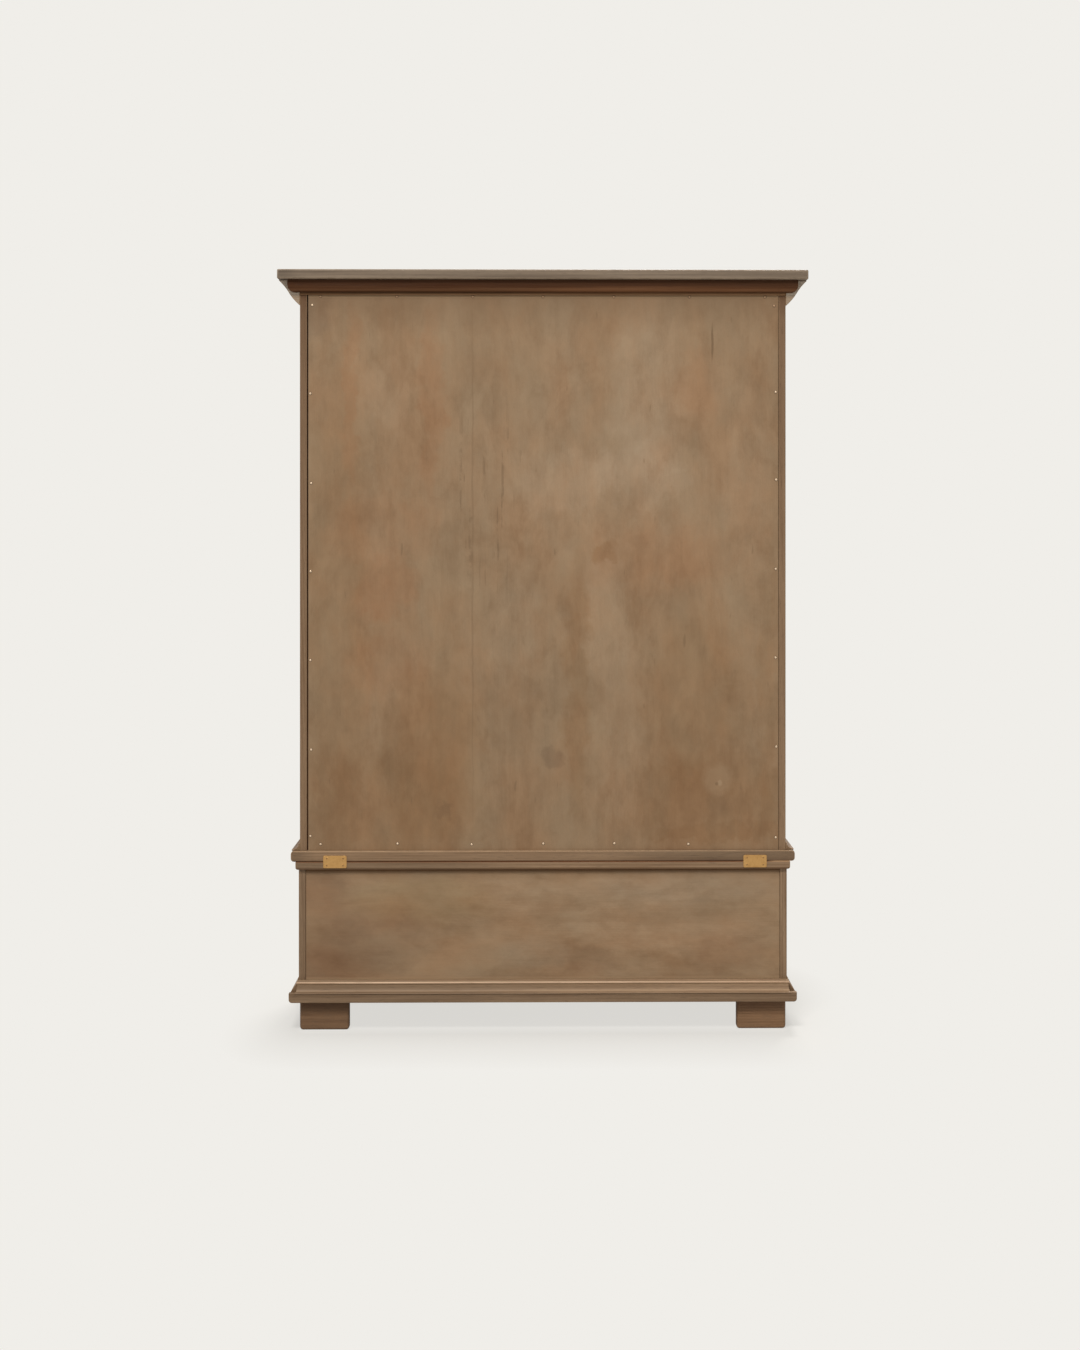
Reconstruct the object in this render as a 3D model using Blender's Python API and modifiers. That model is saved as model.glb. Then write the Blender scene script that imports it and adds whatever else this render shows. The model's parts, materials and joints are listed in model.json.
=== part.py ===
"""Tall cabinet: an upper case with two panelled doors, standing on a chest with one long drawer.

The cabinet faces -Y, its back is at +Y, and Z = 0 is the floor. Left and right are those of
someone who stands in front of it, so left is -X. All sizes are in metres.
"""
import math

import bmesh
import bpy
from mathutils import Matrix, Vector

# Clearances
SEAT = 0.0003
DOOR_GAP = 0.0025
SLIDE_GAP = 0.0015
PANEL_PLAY = 0.0010
BACK_PLAY = 0.0010
BACK_PLAY_WIDE = 0.0035
SHELF_PLAY = 0.0015
EASED_EDGE = 0.0010
WELD = 0.00001
FACING = 0.9

# Heights, from the floor up
FOOT_HEIGHT = 0.0743
CHEST_HEIGHT = 0.3400
CHEST_TOP_THICKNESS = 0.0204
WAIST_THICKNESS = 0.0274
UPPER_HEIGHT = 1.4714
SLAB_THICKNESS = 0.0250

# Plan of the two cases
UPPER_WIDTH = 1.254
UPPER_DEPTH = 0.458
CHEST_STEP = 0.003
SLAB_OVERHANG = 0.056
SLAB_BACK_OVERHANG = 0.030
WAIST_OVERHANG = 0.023
WAIST_BACK_OVERHANG = 0.008
WAIST_NOSE = 0.008
CHEST_TOP_OVERHANG = 0.008
CHEST_TOP_NOSE = 0.006

# Boards of the cases
SIDE_THICKNESS = 0.032
UPPER_LIP = 0.018
CHEST_LIP = 0.0175
STILE_WIDTH = 0.045
STILE_THICKNESS = 0.022
HOUSING = 0.006
ROOF_THICKNESS = 0.022
ROOF_DROP = 0.034
FLOOR_THICKNESS = 0.025
FRIEZE_HEIGHT = 0.135
BACK_RECESS = 0.002
UPPER_PLY = 0.009
CHEST_PLY = 0.006
CHEST_FLOOR_THICKNESS = 0.022
CHEST_RAIL_HEIGHT = 0.065

# Shelves and their pegs
SHELF_COUNT = 3
SHELF_THICKNESS = 0.022
SHELF_SETBACK = 0.015
PEG_RADIUS = 0.0035
PEG_REACH = 0.010
PEG_ROOT = 0.004
PEG_INSET = 0.050
PEG_SIDES = 10

# Cornice
CROWN_HEIGHT = 0.063
CROWN_PROJECTION = 0.055
CROWN_SWELL = 0.002
CROWN_EDGE = 0.003
CROWN_STEPS = 8
BACK_RAIL_HEIGHT = 0.0325
BACK_RAIL_FACE = 0.013
BACK_RAIL_PROJECTION = 0.018
BACK_RAIL_FOOT = 0.002
BACK_RAIL_OVERRUN = 0.013
BACK_FILLET_HEIGHT = 0.006
BACK_FILLET_PROJECTION = 0.003

# Waist and base mouldings
COVE_HEIGHT = 0.019
COVE_PROJECTION = 0.021
COVE_EDGE = 0.003
BASE_HEIGHT = 0.0605
BASE_PROJECTION = 0.024
BASE_ROUND = 0.008
BASE_FACE = 0.0125
BASE_TOP = 0.0015
BASE_STEPS = 8
BACK_BASE_HEIGHT = 0.0562
BACK_BASE_PROJECTION = 0.022
BACK_BASE_FASCIA = 0.0227
BACK_FASCIA_STEP = 0.0020
BACK_FASCIA_LAP = 0.0015
BACK_BASE_COVE_FOOT = 0.0257
BACK_BASE_COVE_TOP = 0.0437
BACK_BASE_NECK = 0.010
BACK_BASE_BEAD = 0.004
BACK_BASE_SHORT = 0.0015
BACK_BASE_SLANT = 0.5
ARC_STEPS = 6

# Feet
FOOT_WIDTH = 0.127
FOOT_DEPTH = 0.110
FOOT_BOARD = 0.030
FOOT_BLOCK = 0.045
FOOT_INSET = 0.0025
FOOT_ROUND = 0.008
FOOT_ROUND_STEPS = 3

# Mending plates across the seam of the two cases
PLATE_WIDTH = 0.060
PLATE_HEIGHT = 0.032
PLATE_THICKNESS = 0.002
PLATE_INSET_LEFT = 0.103
PLATE_INSET_RIGHT = 0.114
PLATE_CORNER = 0.003
PLATE_HOLE_RADIUS = 0.0024
PLATE_HOLE_SPREAD = 0.042
PLATE_HOLE_RISE = 0.018
PLATE_HOLE_SIDES = 10

# Doors
DOOR_THICKNESS = 0.022
DOOR_STILE = 0.062
DOOR_TOP_RAIL = 0.075
DOOR_BOTTOM_RAIL = 0.090
TENON_LENGTH = 0.030
TENON_SHOULDER = 0.012
GROOVE_DEPTH = 0.009
TONGUE_THICKNESS = 0.0070
PANEL_BORDER = 0.036
PANEL_RAISE = 0.0050
PANEL_STEP = 0.0015
PANEL_STEP_LEAN = 0.0005

# Butt hinges
HINGE_LENGTH = 0.075
HINGE_INSET = 0.160
LEAF_THICKNESS = 0.0020
LEAF_WIDTH = 0.018
KNUCKLE_COUNT = 5
KNUCKLE_RADIUS = 0.0045
PIN_SETBACK = 0.0055
PIN_RADIUS = 0.0020
PIN_TIP = 0.0025
ROUND_SIDES = 16

# Drawer
DRAWER_FRONT_THICKNESS = 0.022
DRAWER_SIDE_THICKNESS = 0.012
DRAWER_BACK_THICKNESS = 0.012
DRAWER_BOTTOM_THICKNESS = 0.006
DRAWER_BOTTOM_RISE = 0.012
DRAWER_SIDE_DROP = 0.020
DRAWER_REAR_GAP = 0.012
RUNNER_WIDTH = 0.040
RUNNER_THICKNESS = 0.014
RUNNER_ROOT = 0.004
GUIDE_HEIGHT = 0.020
DOVETAIL_LAP = 0.006
DOVETAIL_COUNT = 4
DOVETAIL_SLOPE = 0.004
DOVETAIL_SHARE = 0.25

# Turned knobs
KNOB_BASE_RADIUS = 0.012
KNOB_NECK_RADIUS = 0.0065
KNOB_HEAD_RADIUS = 0.016
KNOB_REACH = 0.030
KNOB_HEAD_THICKNESS = 0.016
KNOB_NECK_LENGTH = 0.010
KNOB_NECK_FOOT = 0.005
KNOB_BASE_THICKNESS = 0.0025
KNOB_CROWN_ANGLE = 75
KNOB_UNDER_ANGLE = -45
KNOB_STEPS = 20
DOOR_KNOB_RISE = 0.600
DRAWER_KNOB_SPACING = 0.720

# Levels worked out from the heights
Z_CHEST = FOOT_HEIGHT + SEAT
Z_CHEST_END = Z_CHEST + CHEST_HEIGHT
Z_CHEST_TOP = Z_CHEST_END + SEAT
Z_WAIST = Z_CHEST_TOP + CHEST_TOP_THICKNESS + SEAT
Z_UPPER = Z_WAIST + WAIST_THICKNESS + SEAT
Z_UPPER_END = Z_UPPER + UPPER_HEIGHT
Z_SLAB = Z_UPPER_END + SEAT
Z_FLOOR_TOP = Z_UPPER + FLOOR_THICKNESS
Z_ROOF_TOP = Z_UPPER_END - ROOF_DROP
Z_ROOF = Z_ROOF_TOP - ROOF_THICKNESS
Z_FRIEZE = Z_UPPER_END - FRIEZE_HEIGHT
Z_CHEST_FLOOR_TOP = Z_CHEST + CHEST_FLOOR_THICKNESS
Z_CHEST_RAIL_TOP = Z_CHEST + CHEST_RAIL_HEIGHT

# Planes worked out from the plan
OVERALL_DEPTH = UPPER_DEPTH + SLAB_OVERHANG + SLAB_BACK_OVERHANG
BACK = OVERALL_DEPTH / 2 - SLAB_BACK_OVERHANG
FRONT = BACK - UPPER_DEPTH
CHEST_FRONT = FRONT - CHEST_STEP
UPPER_HALF = UPPER_WIDTH / 2
CHEST_HALF = UPPER_HALF + CHEST_STEP
UPPER_INNER = UPPER_HALF - SIDE_THICKNESS
CHEST_INNER = CHEST_HALF - SIDE_THICKNESS
UPPER_OPENING = UPPER_HALF - STILE_WIDTH
CHEST_OPENING = CHEST_HALF - STILE_WIDTH
STILE_BACK = FRONT + STILE_THICKNESS
CHEST_STILE_BACK = CHEST_FRONT + STILE_THICKNESS
UPPER_RABBET = BACK - BACK_RECESS - UPPER_PLY - SEAT
CHEST_RABBET = BACK - BACK_RECESS - CHEST_PLY - SEAT

# Door and drawer spans
DOOR_MEETING = DOOR_GAP / 2
DOOR_EDGE = UPPER_OPENING - DOOR_GAP
DOOR_LOW = Z_FLOOR_TOP + DOOR_GAP
DOOR_HIGH = Z_FRIEZE - DOOR_GAP
DOOR_BACK = FRONT + DOOR_THICKNESS
DOOR_MIDDLE = FRONT + DOOR_THICKNESS / 2
HINGE_X = (UPPER_OPENING + DOOR_EDGE) / 2
HINGE_Y = FRONT - PIN_SETBACK
HINGE_LEVELS = (DOOR_LOW + HINGE_INSET, DOOR_HIGH - HINGE_INSET)
DRAWER_HALF = CHEST_OPENING - DOOR_GAP
DRAWER_LOW = Z_CHEST_RAIL_TOP + DOOR_GAP
DRAWER_HIGH = Z_CHEST_END - DOOR_GAP
DRAWER_REAR = CHEST_RABBET - DRAWER_REAR_GAP

LEFT = -1
RIGHT = 1

# Colours as linear red, green, blue, then roughness and metallic
FINISHES = {
    "stained_hardwood": ((0.200, 0.130, 0.072), 0.55, 0.0),
    "dark_stained_hardwood": ((0.075, 0.034, 0.016), 0.50, 0.0),
    "slab_hardwood": ((0.195, 0.145, 0.100), 0.60, 0.0),
    "aged_plywood": ((0.270, 0.180, 0.108), 0.70, 0.0),
    "drawer_softwood": ((0.480, 0.330, 0.190), 0.70, 0.0),
    "brass": ((0.420, 0.225, 0.080), 0.35, 1.0),
}


def clear_scene():
    """Remove every object, so that the script starts from an empty scene."""
    for item in list(bpy.data.objects):
        bpy.data.objects.remove(item, do_unlink=True)


def make_collection(name):
    """A collection of its own under the scene."""
    collection = bpy.data.collections.new(name)
    bpy.context.scene.collection.children.link(collection)
    return collection


def make_material(name):
    """A Principled material from the table of finishes."""
    colour, roughness, metallic = FINISHES[name]
    material = bpy.data.materials.new(name)
    material.use_nodes = True
    shader = material.node_tree.nodes["Principled BSDF"]
    shader.inputs["Base Color"].default_value = (*colour, 1.0)
    shader.inputs["Roughness"].default_value = roughness
    shader.inputs["Metallic"].default_value = metallic
    return material


clear_scene()
CABINET = make_collection("tall_cabinet")
CUTTERS = make_collection("cutters")
MATERIALS = {name: make_material(name) for name in FINISHES}


def file_piece(item, finish=None, parent=None):
    """Put a finished piece in the cabinet's collection, or a cutter in the other one."""
    for collection in list(item.users_collection):
        collection.objects.unlink(item)
    if finish is None:
        CUTTERS.objects.link(item)
        item.hide_render = True
        item.display_type = "WIRE"
    else:
        CABINET.objects.link(item)
        item.data.materials.clear()
        item.data.materials.append(MATERIALS[finish])
    if parent is not None:
        item.parent = parent
        item.matrix_parent_inverse = Matrix.Translation(-parent.location)
    return item


def make_pivot(name, place):
    """An empty on a joint's axis, which carries the pieces that move with it."""
    pivot = bpy.data.objects.new(name, None)
    pivot.location = place
    CABINET.objects.link(pivot)
    return pivot


def mirrored(hand, near, far):
    """A span along X given for the right side, turned to the side named by hand."""
    return (near, far) if hand == RIGHT else (-far, -near)


def make_box(name, x, y, z, finish=None, parent=None, eased=0.0):
    """A straight board or block, from its two ends along each axis."""
    low = Vector((x[0], y[0], z[0]))
    high = Vector((x[1], y[1], z[1]))
    bpy.ops.mesh.primitive_cube_add(size=1, location=(low + high) / 2)
    item = bpy.context.object
    item.name = name
    item.data.transform(Matrix.Diagonal((*(high - low), 1)))
    if eased > 0:
        bevel = item.modifiers.new("eased edges", "BEVEL")
        bevel.width = eased
        bevel.segments = 1
    return file_piece(item, finish, parent)


def make_boxes(name, spans):
    """Several separate boxes in one mesh, to cut or to join in one step."""
    mesh = bpy.data.meshes.new(name)
    shape = bmesh.new()
    for x, y, z in spans:
        low = Vector((x[0], y[0], z[0]))
        high = Vector((x[1], y[1], z[1]))
        place = Matrix.Translation((low + high) / 2) @ Matrix.Diagonal((*(high - low), 1))
        bmesh.ops.create_cube(shape, size=1, matrix=place)
    shape.to_mesh(mesh)
    shape.free()
    return file_piece(bpy.data.objects.new(name, mesh))


def make_cylinders(name, radius, sides, runs, turn):
    """Several separate cylinders in one mesh; runs holds each centre and length."""
    mesh = bpy.data.meshes.new(name)
    shape = bmesh.new()
    for centre, length in runs:
        place = Matrix.Translation(centre) @ turn
        bmesh.ops.create_cone(shape, cap_ends=True, segments=sides, radius1=radius,
                              radius2=radius, depth=length, matrix=place)
    shape.to_mesh(mesh)
    shape.free()
    return file_piece(bpy.data.objects.new(name, mesh))


def combine(item, other, operation):
    """Cut one piece by another, or join the two."""
    step = item.modifiers.new(other.name, "BOOLEAN")
    step.operation = operation
    step.object = other


def cut(item, cutter):
    """Take the cutter's shape out of a piece."""
    combine(item, cutter, "DIFFERENCE")


def join(item, addition):
    """Make the addition one body with a piece."""
    combine(item, addition, "UNION")


def make_extrusion(name, outline, thickness, place, finish=None, parent=None):
    """A flat outline given its thickness, centred on the outline's own plane."""
    curve = bpy.data.curves.new(name, "CURVE")
    curve.dimensions = "2D"
    curve.fill_mode = "BOTH"
    curve.extrude = thickness / 2
    spline = curve.splines.new("POLY")
    spline.points.add(len(outline) - 1)
    for point, (across, up) in zip(spline.points, outline):
        point.co = (across, up, 0.0, 1.0)
    spline.use_cyclic_u = True
    guide = bpy.data.objects.new(name + "_guide", curve)
    CUTTERS.objects.link(guide)
    depsgraph = bpy.context.evaluated_depsgraph_get()
    mesh = bpy.data.meshes.new_from_object(guide.evaluated_get(depsgraph))
    bpy.data.objects.remove(guide, do_unlink=True)
    bpy.data.curves.remove(curve)
    mesh.name = name
    weld_faces(mesh)
    item = bpy.data.objects.new(name, mesh)
    item.matrix_world = place
    return file_piece(item, finish, parent)


def weld_faces(mesh):
    """Close the seams of a filled curve, and turn all its faces out."""
    shape = bmesh.new()
    shape.from_mesh(mesh)
    bmesh.ops.remove_doubles(shape, verts=shape.verts, dist=WELD)
    bmesh.ops.recalc_face_normals(shape, faces=shape.faces)
    shape.to_mesh(mesh)
    shape.free()


def frame_of(across, up, origin):
    """A placement whose own X and Y run across and up, at the origin given."""
    across = Vector(across)
    up = Vector(up)
    along = across.cross(up)
    turn = Matrix((across, up, along)).transposed().to_4x4()
    return Matrix.Translation(origin) @ turn


def arc_points(centre, radius, start, end, steps):
    """Points along an arc; a radius pair makes it part of an ellipse."""
    points = []
    for step in range(steps + 1):
        angle = math.radians(start + (end - start) * step / steps)
        points.append((centre[0] + radius[0] * math.cos(angle),
                       centre[1] + radius[1] * math.sin(angle)))
    return points


def make_moulding(name, profile, length, place, ends, finish):
    """A straight moulding; an end that is mitred runs out by each point's own projection."""
    item = make_extrusion(name, profile, length, place, finish)
    for vertex in item.data.vertices:
        end = 1 if vertex.co.z > 0 else -1
        mitre = ends[1] if end > 0 else ends[0]
        vertex.co.z += end * mitre * (vertex.co.x - SEAT)
    item.data.update()
    return item


def case_side(name, hand, half, front, inner, lip, rabbet, levels):
    """A side of a case with its front stile and the rabbet that takes the back panel."""
    opening = half - STILE_WIDTH
    stile_back = front + STILE_THICKNESS
    outline = [
        (hand * half, front),
        (hand * half, BACK),
        (hand * (half - lip), BACK),
        (hand * (half - lip), rabbet),
        (hand * inner, rabbet),
        (hand * inner, stile_back),
        (hand * opening, stile_back),
        (hand * opening, front),
    ]
    low, high = levels
    place = Matrix.Translation((0, 0, (low + high) / 2))
    outline = ease_corners(outline, (0, 1, 2, 7))
    return make_extrusion(name, outline, high - low, place, "stained_hardwood")


def ease_corners(outline, chosen):
    """Take the sharp edge off the chosen corners of an outline."""
    eased = []
    for step, corner in enumerate(outline):
        if step not in chosen:
            eased.append(corner)
            continue
        here = Vector(corner)
        before = Vector(outline[step - 1])
        after = Vector(outline[(step + 1) % len(outline)])
        eased.append(tuple(here + (before - here).normalized() * EASED_EDGE))
        eased.append(tuple(here + (after - here).normalized() * EASED_EDGE))
    return eased


def housing_span(hand, inner, stile_back, rabbet, levels):
    """The groove across a side that takes the end of a board."""
    low, high = levels
    across = mirrored(hand, inner - HOUSING, inner + HOUSING)
    return across, (stile_back + SEAT, rabbet + HOUSING), (low - SEAT, high + SEAT)


def make_upper_sides():
    """The sides of the upper case, with their shelf pegs and the hinge recesses."""
    levels = (Z_UPPER, Z_UPPER_END)
    for word, hand in (("left", LEFT), ("right", RIGHT)):
        side = case_side("upper_side_" + word, hand, UPPER_HALF, FRONT, UPPER_INNER,
                         UPPER_LIP, UPPER_RABBET, levels)
        roof = housing_span(hand, UPPER_INNER, STILE_BACK, UPPER_RABBET,
                            (Z_ROOF, Z_ROOF_TOP))
        floor = housing_span(hand, UPPER_INNER, STILE_BACK, UPPER_RABBET,
                             (Z_UPPER - HOUSING, Z_FLOOR_TOP))
        cut(side, make_boxes("upper_housings_" + word, [roof, floor]))
        cut(side, make_boxes("stile_recesses_" + word, stile_recesses(hand)))
        join(side, make_pegs("shelf_pegs_" + word, hand))


def stile_recesses(hand):
    """The cuts in a front stile: two hinge recesses and the frieze rail's mortise."""
    across = mirrored(hand, UPPER_OPENING - LEAF_WIDTH, UPPER_OPENING + LEAF_THICKNESS + SEAT)
    depth = (FRONT - LEAF_WIDTH, FRONT + LEAF_WIDTH + SEAT)
    reach = HINGE_LENGTH / 2 + SEAT
    spans = [(across, depth, (level - reach, level + reach)) for level in HINGE_LEVELS]
    mortise = mirrored(hand, UPPER_OPENING - TENON_LENGTH, UPPER_OPENING + TENON_LENGTH + SEAT)
    mortise_depth = tenon_depth(FRONT + STILE_THICKNESS / 2, SEAT)
    mortise_height = (Z_FRIEZE + TENON_SHOULDER - SEAT, Z_UPPER_END - TENON_SHOULDER + SEAT)
    spans.append((mortise, mortise_depth, mortise_height))
    return spans


def tenon_depth(middle, clearance):
    """The span along Y of a tenon, or of its mortise when a clearance is given."""
    half = TONGUE_THICKNESS / 2 + clearance
    return middle - half, middle + half


def shelf_levels():
    """The underside of each shelf, evenly spaced between the floor and the roof."""
    pitch = (Z_ROOF - Z_FLOOR_TOP) / (SHELF_COUNT + 1)
    return [Z_FLOOR_TOP + pitch * (step + 1) - SHELF_THICKNESS / 2
            for step in range(SHELF_COUNT)]


def shelf_depth():
    """The span of a shelf from behind the doors to the back panel."""
    return DOOR_BACK + SHELF_SETBACK, UPPER_RABBET - SHELF_PLAY


def make_pegs(name, hand):
    """Two pegs under each end of each shelf, all on one side of the case."""
    front, rear = shelf_depth()
    centre = hand * (UPPER_INNER + (PEG_ROOT - PEG_REACH) / 2)
    runs = []
    for level in shelf_levels():
        for depth in (front + PEG_INSET, rear - PEG_INSET):
            place = Vector((centre, depth, level - SEAT - PEG_RADIUS))
            runs.append((place, PEG_ROOT + PEG_REACH))
    return make_cylinders(name, PEG_RADIUS, PEG_SIDES, runs, Matrix.Rotation(math.pi / 2, 4, "Y"))


def make_upper_boards():
    """The floor, roof, shelves, frieze rail and back panel of the upper case."""
    housed = UPPER_INNER + HOUSING - SEAT
    notch = UPPER_OPENING - SEAT
    rear = UPPER_RABBET - SEAT
    floor = [(-housed, rear), (-housed, STILE_BACK + 2 * SEAT), (-notch, STILE_BACK + 2 * SEAT),
             (-notch, FRONT), (notch, FRONT), (notch, STILE_BACK + 2 * SEAT),
             (housed, STILE_BACK + 2 * SEAT), (housed, rear)]
    middle = Matrix.Translation((0, 0, Z_UPPER + FLOOR_THICKNESS / 2))
    make_extrusion("upper_floor_board", floor, FLOOR_THICKNESS, middle, "stained_hardwood")
    make_box("upper_roof_board", (-housed, housed), (STILE_BACK + 2 * SEAT, rear),
             (Z_ROOF, Z_ROOF_TOP), "stained_hardwood")
    edge = UPPER_HALF - UPPER_LIP
    make_box("upper_back_panel", (BACK_PLAY - edge, edge - BACK_PLAY_WIDE),
             (UPPER_RABBET + SEAT, BACK - BACK_RECESS), (Z_UPPER, Z_UPPER_END - SEAT),
             "aged_plywood")
    shelf_half = UPPER_INNER - SHELF_PLAY
    for word, level in zip(("lower", "middle", "upper"), shelf_levels()):
        make_box("shelf_" + word, (-shelf_half, shelf_half), shelf_depth(),
                 (level, level + SHELF_THICKNESS), "stained_hardwood", eased=EASED_EDGE)
    frieze = make_box("frieze_rail", (-notch, notch), (FRONT, STILE_BACK),
                      (Z_FRIEZE, Z_UPPER_END), "stained_hardwood", eased=EASED_EDGE)
    tenons = [(mirrored(hand, notch - TENON_LENGTH, UPPER_OPENING + TENON_LENGTH),
               tenon_depth(FRONT + STILE_THICKNESS / 2, 0),
               (Z_FRIEZE + TENON_SHOULDER, Z_UPPER_END - TENON_SHOULDER))
              for hand in (LEFT, RIGHT)]
    join(frieze, make_boxes("frieze_tenons", tenons))


def wall_frames(half, front, level):
    """Placements for mouldings on the front and the two sides of a case."""
    side_middle = (front + BACK) / 2
    return {
        "front": frame_of((0, -1, 0), (0, 0, 1), (0, front, level)),
        "left": frame_of((-1, 0, 0), (0, 0, 1), (-half, side_middle, level)),
        "right": frame_of((1, 0, 0), (0, 0, 1), (half, side_middle, level)),
    }


def make_wall_mouldings(name, profile, half, front, level):
    """A moulding round the front and sides, mitred at the two front corners."""
    frames = wall_frames(half, front, level)
    side_length = BACK - front
    make_moulding(name + "_front", profile, 2 * half, frames["front"], (1, 1),
                  "stained_hardwood")
    make_moulding(name + "_left", profile, side_length, frames["left"], (1, 0),
                  "stained_hardwood")
    make_moulding(name + "_right", profile, side_length, frames["right"], (0, 1),
                  "stained_hardwood")


def mitre_safe(profile):
    """Lift a profile off its wall, so that its mitred neighbours stay clear as well."""
    return [(across + SEAT, up) for across, up in profile]


def crown_profile():
    """A nearly straight splay with a slight swell, under the slab."""
    points = [(0, 0)]
    for step in range(CROWN_STEPS + 1):
        share = step / CROWN_STEPS
        swell = CROWN_SWELL * math.sin(2 * math.pi * share)
        points.append((CROWN_PROJECTION * share + swell + CROWN_EDGE * (1 - share),
                       CROWN_HEIGHT * share))
    points.append((0, CROWN_HEIGHT))
    return points


def back_rail_profile():
    """An upright face that curves in below, for the rail behind the slab."""
    curve_height = BACK_RAIL_HEIGHT - BACK_RAIL_FACE
    reach = BACK_RAIL_PROJECTION - BACK_RAIL_FOOT
    points = [(0, 0)]
    points += arc_points((BACK_RAIL_FOOT, curve_height), (reach, curve_height), -90, 0, ARC_STEPS)
    points += [(BACK_RAIL_PROJECTION, BACK_RAIL_HEIGHT), (0, BACK_RAIL_HEIGHT)]
    return points


def cove_profile():
    """A hollow strip in the angle between the upper case and the waist board."""
    reach = COVE_PROJECTION - COVE_EDGE
    rise = COVE_HEIGHT - COVE_EDGE
    points = [(0, 0), (COVE_PROJECTION, 0)]
    points += arc_points((COVE_PROJECTION, COVE_HEIGHT), (reach, rise), -90, -180, ARC_STEPS)
    points.append((0, COVE_HEIGHT))
    return points


def base_profile():
    """An ogee over a rounded foot, for the front and sides of the chest."""
    points = [(0, 0)]
    centre = (BASE_PROJECTION - BASE_ROUND, BASE_ROUND)
    points += arc_points(centre, (BASE_ROUND, BASE_ROUND), -90, 0, ARC_STEPS // 2)
    for step in range(BASE_STEPS + 1):
        share = step / BASE_STEPS
        fall = (1 + math.cos(math.pi * share)) / 2
        points.append((BASE_TOP + (BASE_PROJECTION - BASE_TOP) * fall,
                       BASE_FACE + (BASE_HEIGHT - BASE_FACE) * share))
    points.append((0, BASE_HEIGHT))
    return points


def back_base_profile():
    """A hollow and a small bead that stand on the fascia, for the back of the chest."""
    reach = BACK_BASE_PROJECTION - BACK_BASE_NECK - BACK_BASE_BEAD / 2
    rise = BACK_BASE_COVE_TOP - BACK_BASE_COVE_FOOT
    bead_foot = BACK_BASE_HEIGHT - 2 * BACK_BASE_BEAD - BACK_BASE_BEAD / 2
    points = [(0, BACK_BASE_FASCIA), (BACK_BASE_PROJECTION, BACK_BASE_FASCIA),
              (BACK_BASE_PROJECTION, BACK_BASE_COVE_FOOT - BACK_BASE_BEAD / 2)]
    points += arc_points((BACK_BASE_NECK + reach, BACK_BASE_COVE_TOP), (reach, rise),
                         -90, -180, ARC_STEPS)
    points += arc_points((BACK_BASE_NECK, bead_foot + BACK_BASE_BEAD),
                         (BACK_BASE_BEAD, BACK_BASE_BEAD), -90, 90, ARC_STEPS)
    points += [(BACK_BASE_NECK - BACK_BASE_BEAD / 2, BACK_BASE_HEIGHT), (0, BACK_BASE_HEIGHT)]
    return points


def make_cornice():
    """The slab, its crown on three sides and the dark rail behind."""
    slab_half = UPPER_HALF + SLAB_OVERHANG
    make_box("cornice_slab", (-slab_half, slab_half), (-OVERALL_DEPTH / 2, OVERALL_DEPTH / 2),
             (Z_SLAB, Z_SLAB + SLAB_THICKNESS), "slab_hardwood", eased=2 * EASED_EDGE)
    make_wall_mouldings("cornice_crown", mitre_safe(crown_profile()), UPPER_HALF, FRONT,
                        Z_UPPER_END - CROWN_HEIGHT)
    rail_half = UPPER_HALF + BACK_RAIL_OVERRUN
    level = Z_UPPER_END - BACK_RAIL_HEIGHT
    place = frame_of((0, 1, 0), (0, 0, 1), (0, BACK, level))
    rail = make_moulding("cornice_back_rail", mitre_safe(back_rail_profile()), 2 * rail_half,
                         place, (1, 1), "dark_stained_hardwood")
    fillet = make_box("back_rail_fillet", (-UPPER_HALF, UPPER_HALF),
                      (BACK + SEAT, BACK + BACK_FILLET_PROJECTION),
                      (level - BACK_FILLET_HEIGHT, level + BACK_RAIL_FOOT))
    join(rail, fillet)


def make_nosed_board(name, x, y, z, nose, edges):
    """A board whose long outer edges are rounded at the front and sides, square behind."""
    board = make_box(name, x, y, z, "stained_hardwood")
    shape = bmesh.new()
    shape.from_mesh(board.data)
    half_height = (z[1] - z[0]) / 2
    rear = (y[1] - y[0]) / 2
    chosen = []
    for edge in shape.edges:
        ends = [vertex.co for vertex in edge.verts]
        level = ends[0].z * ends[1].z > 0 and abs(ends[0].z - ends[1].z) < half_height
        behind = all(abs(end.y - rear) < SEAT for end in ends)
        if level and not behind and ((ends[0].z < 0) or edges == "both"):
            chosen.append(edge)
    bmesh.ops.bevel(shape, geom=chosen, offset=nose, segments=ARC_STEPS // 2, profile=0.5,
                    affect="EDGES")
    shape.to_mesh(board.data)
    shape.free()
    return board


def make_waist():
    """The waist board with its cove, and the board that closes the chest below it."""
    waist_half = UPPER_HALF + WAIST_OVERHANG
    rear = BACK + WAIST_BACK_OVERHANG
    make_nosed_board("waist_board", (-waist_half, waist_half), (FRONT - WAIST_OVERHANG, rear),
                     (Z_WAIST, Z_WAIST + WAIST_THICKNESS), WAIST_NOSE, "both")
    make_wall_mouldings("waist_cove", mitre_safe(cove_profile()), UPPER_HALF, FRONT, Z_UPPER)
    top_half = CHEST_HALF + CHEST_TOP_OVERHANG
    make_nosed_board("chest_top_board", (-top_half, top_half),
                     (CHEST_FRONT - CHEST_TOP_OVERHANG, rear),
                     (Z_CHEST_TOP, Z_CHEST_TOP + CHEST_TOP_THICKNESS), CHEST_TOP_NOSE, "lower")


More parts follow.
